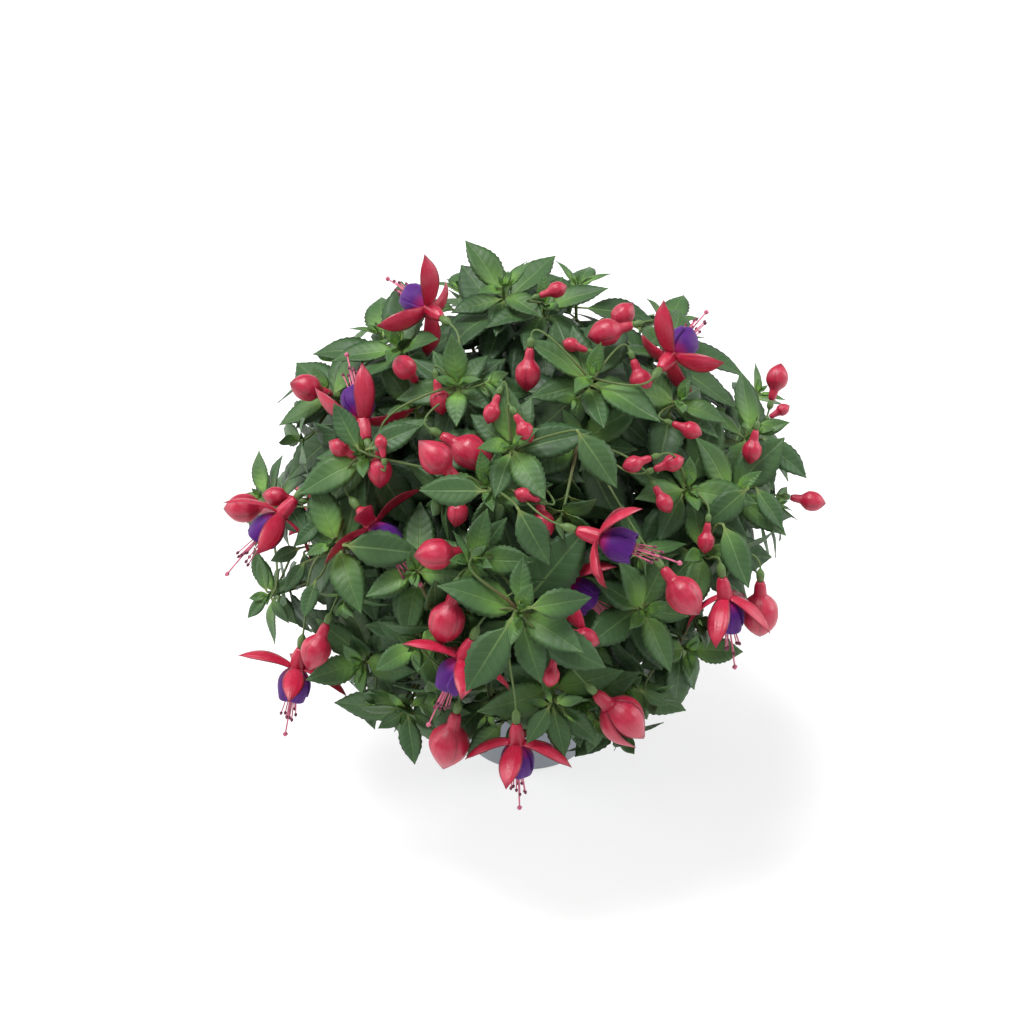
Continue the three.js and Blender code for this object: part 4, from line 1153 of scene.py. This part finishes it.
def make_bloom(index, spec):
    """An open bloom, and where its stalk has to end."""
    name = f"bloom_{index + 1:02d}"
    throat, axis = place(spec), pointing(spec)
    across = turned(upright(axis), axis, math.radians(spec["roll"]))
    calyx, petals = Mesh(), Mesh()
    sepals = add_calyx(calyx, throat, axis, across, spec["sepals"])
    for k in range(STAMENS["count"]):
        add_stamen(calyx, throat, axis, across, k, FIRST["stamens"] + index * 10 + k)
    add_style(calyx, throat, axis, across)
    for k in range(4):
        add_petal(petals, throat, axis, across, k, FIRST["petals"] + index * 10 + k)
    calyx.build(f"{name}_calyx_skin", ["red", "filament", "anther", "stigma"], "red_petal", f"{name}_calyx")
    petals.build(f"{name}_petals", ["violet"], "violet_petal", f"{name}_corolla")
    room.take(*calyx.shape())
    room.take(*petals.shape())
    if "at" in spec:
        watch_bloom(throat, axis, sepals, index not in HALF_HIDDEN)
    return dict(start=throat - axis * (TUBE["length"] + OVARY["length"] + GAP), axis=axis, ovary=OVARY)


def bud_neck(size):
    """The length of a bud's tube."""
    return TUBE["length"] * lerp(0.2, 0.65, size)


def bud_end(spec):
    """Where a bud's stalk has to end, behind its tube, with its axis and its ovary's size."""
    size, axis = spec["size"], pointing(spec)
    ovary = dict(length=OVARY["length"] * lerp(0.3, 0.9, size), radius=OVARY["radius"] * lerp(0.5, 1, size))
    back = BUD["middle"] * BUD["length"] * size + bud_neck(size)
    return dict(start=place(spec) - axis * (back + ovary["length"] + GAP), axis=axis, ovary=ovary)


def bud_radii(spec, lengths, neck, long):
    """A bud's radius at each length from its start, down its neck and its swelling."""
    thin, wide = lerp(0.9, TUBE["radius"] * 0.9, spec["size"]), BUD["radius"] * spec["size"]
    shares = lerp(vec(*ROUND_BUD), vec(*POINTED_BUD), spec.get("pointed", 0))
    profile = [(neck * run, thin * share) for run, share in BUD_NECK] + [(neck + 0.02 * long, thin * 1.1)]
    profile += [(neck + run * long, wide * share) for run, share in zip(BUD_PLACES, shares)]
    return smooth(profile, lengths)


def add_bud(mesh, spec):
    """A balloon bud: tube, then four sepals joined along their seams in a pointed swelling."""
    axis, long, neck = pointing(spec), BUD["length"] * spec["size"], bud_neck(spec["size"])
    across = upright(axis)
    other = np.cross(axis, across)
    start = place(spec) - axis * (BUD["middle"] * long + neck)
    lengths = np.concatenate([np.linspace(0, neck, NECK_RINGS + 1)[:-1],
                              neck + long * np.linspace(0, 1, BUD_RINGS)])
    radii = bud_radii(spec, lengths, neck, long)
    angles = circle(40)
    swell = np.clip((lengths - neck) / (BUD_FORM["whole"] * long), 0, 1)[:, None]
    seam = BUD_FORM["seam"] * swell * np.exp(-(np.abs(np.sin(2 * angles)) / BUD_FORM["seam_width"])**2)
    r = radii[:, None] * (1 + (seam + BUD_FORM["rib"] * swell * np.cos(16 * angles)))
    rings = (start + lengths[:, None, None] * axis + (r * np.cos(angles))[..., None] * across
             + (r * np.sin(angles))[..., None] * other)
    coarse = rings[::3, ::5]
    room.take(coarse.reshape(-1, 3), lofted_faces(*coarse.shape[:2]))
    if "at" in spec:
        room.watch(start + np.outer([0.5 * neck] + [neck + share * long for share in BUD_WATCHED], axis))
    if "parted" in spec:
        open_part = (lengths[NECK_RINGS:], radii[NECK_RINGS:])
        for k, parted in enumerate(spec["parted"]):
            add_bud_sepal(mesh, start, axis, (across, other), *open_part, k, parted)
        closed = lengths < neck + BUD_FORM["opens"] * long
        rings, lengths = rings[closed], lengths[closed]
    run = np.clip((lengths - neck) / long, -0.3, 1)
    mesh.loft(rings, triples(np.sin(2 * angles), run[:, None], 0.0), SWELLING, RED)


def add_bud_sepal(mesh, start, axis, sides, lengths, radii, k, parted):
    """One sepal of an opening bud, which leaves the others by so many millimetres at its tip."""
    run = lengths[1:]
    s = ((run - lengths[0]) / (run[-1] - lengths[0]))[:, None]
    u = np.linspace(-1, 1, 13)
    centre = math.pi / 4 * (2 * k + 1)
    angle = centre + math.radians(47) * u
    out = np.cos(angle)[:, None] * sides[0] + np.sin(angle)[:, None] * sides[1]
    middle = math.cos(centre) * sides[0] + math.sin(centre) * sides[1]
    radius = radii[1:, None] * (1.02 + 0.03 * np.cos(u * math.pi / 2))
    away = (parted * s**2.2)[..., None] * middle
    outer = start + run[:, None, None] * axis + radius[..., None] * out + away
    inner = start + run[:, None, None] * axis + np.maximum(radius - 0.6, 0.05)[..., None] * out + away
    mesh.loft(shell(outer, inner), triples(around(u)[0], s, 0.0), STRAP, RED)


def add_stalk(mesh, flower, curve):
    """A flower's thin stalk and its plump ovary, as one tube."""
    path = curve.path(0, 1, 16)
    length, radius = flower["ovary"]["length"], flower["ovary"]["radius"]
    body = path[-1] + np.outer(length * np.linspace(0.08, 1, len(OVARY_PROFILE)), flower["axis"])
    radii = np.concatenate([np.linspace(0.7, 0.5, 16), radius * vec(*OVARY_PROFILE)])
    ages = np.concatenate([np.linspace(0.72, 0.86, 16), np.linspace(0.95, 1, len(OVARY_PROFILE))])
    tube(mesh, np.concatenate([path, body]), radii, 12, triples(ages, 0.0, 0.0), WOODY, ridges=4, ridge=0.03)
    room.take(*tube_shape(np.concatenate([path[3::4], body[2::3]]), 1.2))


# Materials

class Nodes:
    """A material's node tree, built with short calls. Inputs are sockets or plain values."""

    def __init__(self, name, **settings):
        self.material = bpy.data.materials.new(name)
        self.material.use_nodes = True
        self.tree = self.material.node_tree
        self.shader = self.tree.nodes["Principled BSDF"]
        for socket_name, value in settings.items():
            self.shader.inputs[socket_name.replace("_", " ")].default_value = value

    def node(self, kind, inputs=(), **settings):
        made = self.tree.nodes.new(kind)
        for key, value in settings.items():
            setattr(made, key, value)
        for key, value in dict(inputs).items():
            self.put(value, made.inputs[key])
        return made

    def put(self, value, target):
        if isinstance(value, bpy.types.NodeSocket):
            self.tree.links.new(value, target)
        else:
            target.default_value = value

    def math(self, operation, a, b=0.0):
        return self.node("ShaderNodeMath", {0: a, 1: b}, operation=operation).outputs[0]

    def times(self, a, b):
        return self.math("MULTIPLY", a, b)

    def plus(self, a, b):
        return self.math("ADD", a, b)

    def band(self, value, low, high, to_low=0.0, to_high=1.0):
        """value eased from to_low at low to to_high at high."""
        inputs = {"Value": value, "From Min": low, "From Max": high, "To Min": to_low, "To Max": to_high}
        return self.node("ShaderNodeMapRange", inputs, interpolation_type="SMOOTHSTEP").outputs[0]

    def mix(self, factor, a, b):
        made = self.node("ShaderNodeMix", data_type="RGBA", clamp_factor=True)
        for value, target in ((factor, made.inputs[0]), (a, made.inputs[6]), (b, made.inputs[7])):
            self.put(value if not isinstance(value, tuple) else (*value, 1), target)
        return made.outputs[2]

    def attribute(self, name):
        made = self.node("ShaderNodeAttribute", attribute_name=name)
        return self.node("ShaderNodeSeparateXYZ", {0: made.outputs["Vector"]}).outputs

    def object_place(self):
        return self.node("ShaderNodeTexCoord").outputs["Object"]

    def noise(self, scale, detail=3.0, roughness=0.55, vector=None):
        inputs = {"Scale": scale, "Detail": detail, "Roughness": roughness}
        inputs["Vector"] = self.object_place() if vector is None else vector
        return self.node("ShaderNodeTexNoise", inputs).outputs["Fac"]

    def vector(self, x, y, z=0.0):
        return self.node("ShaderNodeCombineXYZ", {0: x, 1: y, 2: z}).outputs[0]

    def bump(self, height, strength, distance, normal=None):
        inputs = {"Height": height, "Strength": strength, "Distance": distance}
        if normal is not None:
            inputs["Normal"] = normal
        return self.node("ShaderNodeBump", inputs).outputs[0]

    def finish(self, color, roughness, normal):
        self.put(color, self.shader.inputs["Base Color"])
        self.put(roughness, self.shader.inputs["Roughness"])
        self.put(normal, self.shader.inputs["Normal"])
        return self.material


def leaf_look():
    n = Nodes("leaf", Specular_IOR_Level=0.32)
    across, along, upper = n.attribute("place")
    young, chance, depth = n.attribute("kind")
    spread = n.math("ABSOLUTE", across)
    # side veins leave the midrib in pairs and sweep towards the tip
    sweep = n.times(n.math("POWER", spread, 1.25), 0.17)
    off = n.math("PINGPONG", n.times(n.math("SUBTRACT", along, sweep), 8.5), 0.5)
    vein = n.times(n.band(off, 0.0, 0.1, 1.0, 0.0), n.band(spread, 0.5, 1.0, 1.0, 0.25))
    rib = n.band(spread, 0.015, 0.075, 1.0, 0.0)
    mottle = n.noise(260.0, 4.0)
    mature = n.mix(n.band(n.noise(45.0, 2.0), 0.3, 0.7), (0.022, 0.060, 0.022), (0.036, 0.090, 0.031))
    fresh = n.mix(n.band(along, 0.1, 0.9), (0.21, 0.42, 0.07), (0.085, 0.20, 0.042))
    inward = n.times(n.band(along, 0.0, 0.75, 1.0, 0.35), n.band(spread, 0.1, 1.0, 1.0, 0.6))
    color = n.mix(n.band(n.times(young, inward), 0.0, 0.75), mature, fresh)
    color = n.mix(n.times(mottle, 0.25), color, (0.055, 0.115, 0.034))
    color = n.mix(n.band(chance, 0.3, 1.0, 0.0, 0.3), color, (0.060, 0.125, 0.034))
    # painted shade: leaves deep in the bush are darkened, partly as older leaves and partly as the shade of
    # the foliage around them
    color = n.mix(n.band(depth, 0.6, 0.98, 0.72, 0.0), color, (0.010, 0.027, 0.010))
    color = n.mix(n.times(vein, 0.16), color, (0.11, 0.20, 0.07))
    color = n.mix(n.times(rib, n.band(along, 0.0, 0.85, 0.8, 0.2)), color, (0.15, 0.25, 0.08))
    stalk = n.band(along, 0.05, 0.2, 0.75, 0.0)
    color = n.mix(stalk, color, (0.17, 0.22, 0.06))
    under = n.band(upper, -0.6, 0.4, 1.0, 0.0)
    color = n.mix(n.times(under, 0.6), color, (0.10, 0.17, 0.08))
    quilt = n.math("POWER", n.times(off, 2.0), 0.6)
    height = n.math("SUBTRACT", n.times(quilt, 0.7), n.times(rib, 1.1))
    height = n.plus(height, n.times(n.noise(900.0, 2.0), 0.25))
    return n.finish(color, n.band(mottle, 0.3, 0.7, 0.42, 0.56), n.bump(height, 0.38, 0.0005))


def wood_look():
    n = Nodes("stem", Specular_IOR_Level=0.35)
    angle, run, _ = n.attribute("place")
    age, _, _ = n.attribute("kind")
    fibres = n.noise(1.0, 4.0, 0.6, n.vector(n.times(angle, 26.0), n.times(run, 0.14)))
    flecks = n.noise(420.0, 3.0)
    woody = n.mix(fibres, (0.075, 0.035, 0.020), (0.24, 0.13, 0.075))
    ruddy = n.mix(fibres, (0.10, 0.05, 0.025), (0.15, 0.12, 0.045))
    green = n.mix(flecks, (0.065, 0.125, 0.034), (0.115, 0.19, 0.052))
    color = n.mix(n.band(age, 0.15, 0.5), woody, ruddy)
    color = n.mix(n.band(age, 0.5, 0.9), color, green)
    height = n.plus(n.times(fibres, 0.8), n.times(flecks, 0.3))
    return n.finish(color, n.band(age, 0.2, 0.9, 0.75, 0.45), n.bump(height, 0.6, 0.0004))


def red_look(name, light, deep, tip):
    n = Nodes(name, Specular_IOR_Level=0.55, Sheen_Weight=0.04, Sheen_Roughness=0.5,
              Subsurface_Weight=0.06, Subsurface_Radius=(0.002, 0.0006, 0.0005), Subsurface_Scale=1.0)
    across, along, _ = n.attribute("place")
    _, bulb, strap = n.attribute("kind")
    spread = n.math("ABSOLUTE", across)
    grain = n.noise(1.0, 4.0, 0.65, n.vector(n.times(across, 11.0), n.times(along, 2.6)))
    blotch_and_highlight = n.noise(190.0, 4.0, 0.65)
    color = n.mix(n.band(grain, 0.3, 0.72), deep, light)
    # pale pink blotches: partly the red parts' own mottling, partly painted highlight
    color = n.mix(n.times(n.band(blotch_and_highlight, 0.47, 0.66), 0.35), color, (0.60, 0.045, 0.115))
    color = n.mix(n.times(n.band(n.noise(95.0, 3.0), 0.5, 0.7), 0.4), color, (0.30, 0.003, 0.018))
    # a bud's seams and a sepal's rims are darker, and both darken towards the tip
    seam = n.times(n.band(spread, 0.0, 0.16, 0.7, 0.0), bulb)
    rim = n.times(n.band(spread, 0.7, 1.0, 0.0, 0.6), n.math("SUBTRACT", strap, bulb))
    end = n.times(n.band(along, 0.8, 1.0, 0.0, 0.75), strap)
    color = n.mix(n.math("MAXIMUM", n.math("MAXIMUM", seam, rim), end), color, tip)
    streaks = n.math("SINE", n.times(across, 19.0))
    height = n.plus(n.times(streaks, 0.08), n.times(grain, 0.42))
    height = n.plus(height, n.times(n.noise(620.0, 3.0, 0.7), 0.7))
    return n.finish(color, n.band(blotch_and_highlight, 0.3, 0.7, 0.3, 0.46), n.bump(height, 0.45, 0.0005))


def violet_look():
    n = Nodes("violet_petal", Specular_IOR_Level=0.22, Sheen_Weight=0.06, Sheen_Roughness=0.5,
              Subsurface_Weight=0.08, Subsurface_Radius=(0.001, 0.0004, 0.002), Subsurface_Scale=1.0)
    across, along, _ = n.attribute("place")
    chance, _, _ = n.attribute("kind")
    fan = n.times(across, n.band(along, 0.0, 1.0, 16.0, 9.0))
    rays = n.noise(1.0, 3.0, 0.6, n.vector(fan, n.times(along, 1.6), n.times(chance, 9.0)))
    color = n.mix(rays, (0.032, 0.002, 0.088), (0.095, 0.006, 0.200))
    color = n.mix(n.band(along, 0.0, 0.38, 0.9, 0.0), color, (0.36, 0.010, 0.12))
    color = n.mix(n.band(n.math("ABSOLUTE", across), 0.8, 1.0, 0.0, 0.35), color, (0.028, 0.003, 0.11))
    height = n.plus(rays, n.times(n.noise(1500.0, 2.0), 0.3))
    return n.finish(color, n.band(rays, 0.2, 0.8, 0.62, 0.5), n.bump(height, 0.5, 0.0005))


def fine_look(name, first, second, scale, roughness):
    """A finely grained look for a slight part such as a filament or an anther."""
    n = Nodes(name, Specular_IOR_Level=0.4)
    grain = n.noise(scale, 3.0)
    return n.finish(n.mix(n.band(grain, 0.35, 0.65), first, second), roughness, n.bump(grain, 0.4, 0.0002))


def pot_look():
    n = Nodes("pot", Specular_IOR_Level=0.45)
    cloud = n.noise(14.0, 4.0)
    speck = n.noise(700.0, 3.0)
    height = n.node("ShaderNodeSeparateXYZ", {0: n.object_place()}).outputs[2]
    color = n.mix(cloud, (0.200, 0.218, 0.265), (0.245, 0.265, 0.320))
    # painted shade: towards its bottom the pot is tinted a greener grey
    color = n.mix(n.band(height, 0.0, 0.05, 0.35, 0.0), color, (0.205, 0.235, 0.225))
    color = n.mix(n.times(n.band(speck, 0.62, 0.75), 0.3), color, (0.32, 0.33, 0.35))
    bump = n.bump(speck, 0.12, 0.0003, n.bump(cloud, 0.2, 0.001))
    return n.finish(color, n.band(cloud, 0.3, 0.7, 0.34, 0.46), bump)


def soil_look():
    n = Nodes("soil", Specular_IOR_Level=0.2)
    crumb = n.noise(350.0, 6.0, 0.7)
    fleck = n.noise(900.0, 2.0)
    color = n.mix(crumb, (0.014, 0.009, 0.006), (0.075, 0.046, 0.030))
    color = n.mix(n.times(n.band(fleck, 0.66, 0.72), 0.7), color, (0.20, 0.14, 0.09))
    return n.finish(color, 0.92, n.bump(crumb, 1.0, 0.003))


def floor_look():
    n = Nodes("floor", Specular_IOR_Level=0.2, Emission_Color=(1, 1, 1, 1), Emission_Strength=0.63)
    color = n.mix(n.noise(3.0), (0.41, 0.41, 0.41), (0.43, 0.43, 0.43))
    return n.finish(color, 0.9, n.bump(n.noise(60.0), 0.05, 0.001))


looks = dict(
    leaf=leaf_look(),
    stem=wood_look(),
    red=red_look("red_petal", (0.48, 0.009, 0.048), (0.36, 0.004, 0.027), (0.13, 0.004, 0.016)),
    bud=red_look("red_bud", (0.46, 0.010, 0.047), (0.35, 0.005, 0.028), (0.14, 0.004, 0.016)),
    violet=violet_look(),
    filament=fine_look("filament", (0.60, 0.15, 0.24), (0.50, 0.09, 0.17), 300.0, 0.4),
    anther=fine_look("anther", (0.10, 0.014, 0.045), (0.22, 0.055, 0.09), 1600.0, 0.7),
    stigma=fine_look("stigma", (0.55, 0.14, 0.22), (0.42, 0.07, 0.14), 900.0, 0.5),
    pot=pot_look(),
    soil=soil_look(),
)


# The pot and its compost

def turned_rings(profile, sides):
    """Rings about the pot's axis through (radius, height) points."""
    return np.array([[(r * math.cos(a), r * math.sin(a), z) for a in circle(sides)] for r, z in profile])


def make_pot():
    wall, rim, height = POT["wall"], POT["rim"], POT["height"]
    base, top, step = POT["base"], POT["top"], POT["step"]
    band = lerp(base, top, 1 - rim / height)
    foot = [(0.01, 0), (base - 1.2, 0), (base - 0.35, 0.15), (base, 0.8)]
    side = [(lerp(base, band, 0.5), (height - rim) / 2), (band, height - rim - 0.6)]
    ledge = [(band + 0.35, height - rim - 0.1), (band + step - 0.4, height - rim + 0.1),
             (band + step, height - rim + 0.7)]
    lip = [(top + step, height - 0.9), (top + step - 0.3, height - 0.2), (top + step - 0.9, height),
           (top - wall + 0.5, height), (top - wall, height - 0.5)]
    inside = [(lerp(base, top, 0.5) - wall, height / 2), (base - wall, wall + 1), (base - wall - 1, wall),
              (0.01, wall)]
    rings = turned_rings(foot + side + ledge + lip + inside, 144)
    mesh = Mesh()
    mesh.loft(rings, rings, (0, 0, 0))
    pot = mesh.build("pot_shell", ["pot"], "pot", "pot")
    room.take(*mesh.shape())
    drill_drains(pot)


def drill_drains(pot):
    """Cuts the drain holes, then keeps the pot's edges crisp."""
    drill = bmesh.new()
    radius, out = POT["drain"] / 2 * MM, 0.68 * POT["base"] * MM
    for i in range(POT["drains"]):
        a = 2 * math.pi * (i + 0.5) / POT["drains"]
        made = bmesh.ops.create_cone(drill, cap_ends=True, segments=24, radius1=radius, radius2=radius,
                                     depth=4 * POT["wall"] * MM)["verts"]
        bmesh.ops.translate(drill, verts=made, vec=(out * math.cos(a), out * math.sin(a), 0))
    data = bpy.data.meshes.new("drains")
    drill.to_mesh(data)
    drains = bpy.data.objects.new("drains", data)
    bpy.context.scene.collection.objects.link(drains)
    cut = pot.modifiers.new("drains", "BOOLEAN")
    cut.object = drains
    cut.solver = "EXACT"
    bpy.context.view_layer.objects.active = pot
    bpy.ops.object.modifier_apply(modifier=cut.name)
    bpy.data.objects.remove(drains)
    split = pot.modifiers.new("edges", "EDGE_SPLIT")
    split.split_angle = math.radians(40)
    bpy.ops.object.modifier_apply(modifier=split.name)


def make_soil():
    top, wall = SOIL["top"], POT["wall"]

    def inner(z):
        return lerp(POT["base"] - wall, POT["top"] - wall, (z - wall) / (POT["height"] - wall)) - 1.3 * GAP

    def lumpy(x, y, r):
        rise = min(1, (inner(top) - r) / (inner(top) - 0.4 * POT["base"]))
        return top + SOIL["mound"] * rise + 0.8 * fractal(Vector((x, y, 0)) * 0.22, 0.7, 2.0, 5) - 0.6

    foot = wall + GAP
    sides = turned_rings([(0.01, foot), (inner(foot), foot), (inner(top) - 0.2, top - 1)], 96)
    radii = np.linspace(inner(top) - 0.4, 0.05, 30)
    surface = turned_rings([(r, 0) for r in radii], 96)
    for ring, r in zip(surface, radii):
        for point in ring:
            point[2] = lumpy(point[0], point[1], r)
    rings = np.concatenate([sides, surface])
    mesh = Mesh()
    mesh.loft(rings, rings, (0, 0, 0))
    mesh.build("compost", ["soil"], "soil", "soil")


# The pieces, each stem's green parts gathered in one mesh. The order in which they take their room counts

# How much older each pair looks than the one above it, on small and on full shoots, and how much that varies
AGEING = dict(small=0.2, full=0.34, varies=0.2)
SMALL_SHOOT = 0.85

green = {stem: Mesh() for stem, _, _ in STEMS}
leaves = find_leaves()


def dress_leaves():
    for leaf in leaves:
        fade = AGEING["small"] if leaf["shoot"]["size"] < SMALL_SHOOT else AGEING["full"]
        leaf["young"] = max(0.0, 1.0 - fade * leaf["pair"] - AGEING["varies"] * draw(leaf["number"], YOUTH))
        room.take(*lens(leaf))
        add_leaf(green[leaf["shoot"]["stem"]], leaf)


def dress_wood():
    for shoot in shoots:
        add_wood(green[shoot["stem"]], shoot)
        room.take(*tube_shape(shoot["curve"].path(0, 0.97, 14), STEM["fork"]))


def dress_flowers():
    for index, spec in enumerate(BLOOMS):
        flower = make_bloom(index, spec)
        stem, curve = find_stalk(flower)
        add_stalk(green[stem], flower, curve)
    for index, spec in enumerate(BUDS):
        name = f"bud_{index + 1:02d}"
        mesh, flower = Mesh(), bud_end(spec)
        add_bud(mesh, spec)
        mesh.build(f"{name}_skin", ["bud"], "red_petal", name)
        stem, curve = find_stalk(flower)
        add_stalk(green[stem], flower, curve)


def add_small_buds():
    mesh = Mesh()
    for pixel, reach, aim, size in SMALL_BUDS:
        spec = dict(at=pixel, reach=reach, aim=aim, size=size)
        flower = bud_end(spec)
        stem, curve = nearest_wood(flower["start"], flower["axis"])
        add_bud(mesh, spec)
        add_stalk(green[stem], flower, curve)
    mesh.build("small_buds", ["bud"], "red_petal")


def watch_front():
    """Keeps the front shoots' tips and youngest leaves in sight."""
    for shoot in shoots:
        if "at" in shoot:
            room.watch(shoot["curve"].at(1)[None])
    for leaf in leaves:
        if "at" in leaf["shoot"] and leaf["pair"] < 3:
            room.watch(midrib(leaf, [0.3, 0.6]))


def add_covers():
    for number, (base_pixel, tip_pixel, reach, young) in enumerate(COVERS):
        leaf = cover_leaf(base_pixel, tip_pixel, reach)
        leaf.update(number=FIRST["covers"] + number, young=young)
        stem, curve = cover_stalk(leaf)
        add_twig(green[stem], curve, 8, (0.8, 0.6), (0.8, 0.8))
        add_leaf(green[stem], leaf, 18)


def add_sprays():
    for number, (pixel, reach, size, droop) in enumerate(SPRAYS):
        grown = grow_spray(pixel, reach, size, droop, FIRST["sprays"] + number)
        if grown:
            stem, curve, sprouted = grown
            add_twig(green[stem], curve, 12, (1.0, 0.6), (0.5, 0.95))
            for leaf in sprouted:
                add_leaf(green[stem], leaf, 18)


def add_whorls():
    for shoot in shoots:
        for leaf in grow_whorls(shoot):
            add_leaf(green[shoot["stem"]], leaf, 12, 4)


def add_sprigs():
    for leaf in leaves:
        number = FIRST["sprigs"] + leaf["number"]
        grown = None
        if leaf["pair"] > 1 and draw(number, 5) <= SPRIG["share"]:
            grown = grow_sprig(leaf["socket"], number)
        if grown:
            mesh = green[leaf["shoot"]["stem"]]
            curve, sprouted = grown
            add_twig(mesh, curve, 8, (0.75, 0.5), (0.85, 0.85))
            for young in sprouted:
                add_leaf(mesh, young, 12, 4)


dress_leaves()
dress_wood()
dress_flowers()
make_pot()
add_small_buds()
make_soil()
watch_front()
add_covers()
add_sprays()
add_whorls()
add_sprigs()
for stem, mesh in green.items():
    mesh.build(f"{stem}_green", ["leaf", "stem"], "foliage", stem)


# Floor and light

def add_floor():
    bpy.ops.mesh.primitive_plane_add(size=80)
    floor = bpy.context.object
    floor.name = "floor"
    floor.data.materials.append(floor_look())


def add_lights():
    world = bpy.data.worlds.new("studio")
    bpy.context.scene.world = world
    world.use_nodes = True
    background = world.node_tree.nodes["Background"]
    background.inputs["Color"].default_value = (1, 1, 1, 1)
    background.inputs["Strength"].default_value = WORLD
    for name, (where, strength, spread) in LIGHTS.items():
        light = bpy.data.lights.new(name, "SUN")
        light.angle = math.radians(spread)
        light.energy = strength
        lamp = bpy.data.objects.new(name, light)
        lamp.location = where
        lamp.rotation_euler = (-Vector(where)).to_track_quat("-Z", "Y").to_euler()
        bpy.context.scene.collection.objects.link(lamp)


add_floor()
add_lights()
bpy.context.scene.view_settings.view_transform = "Standard"
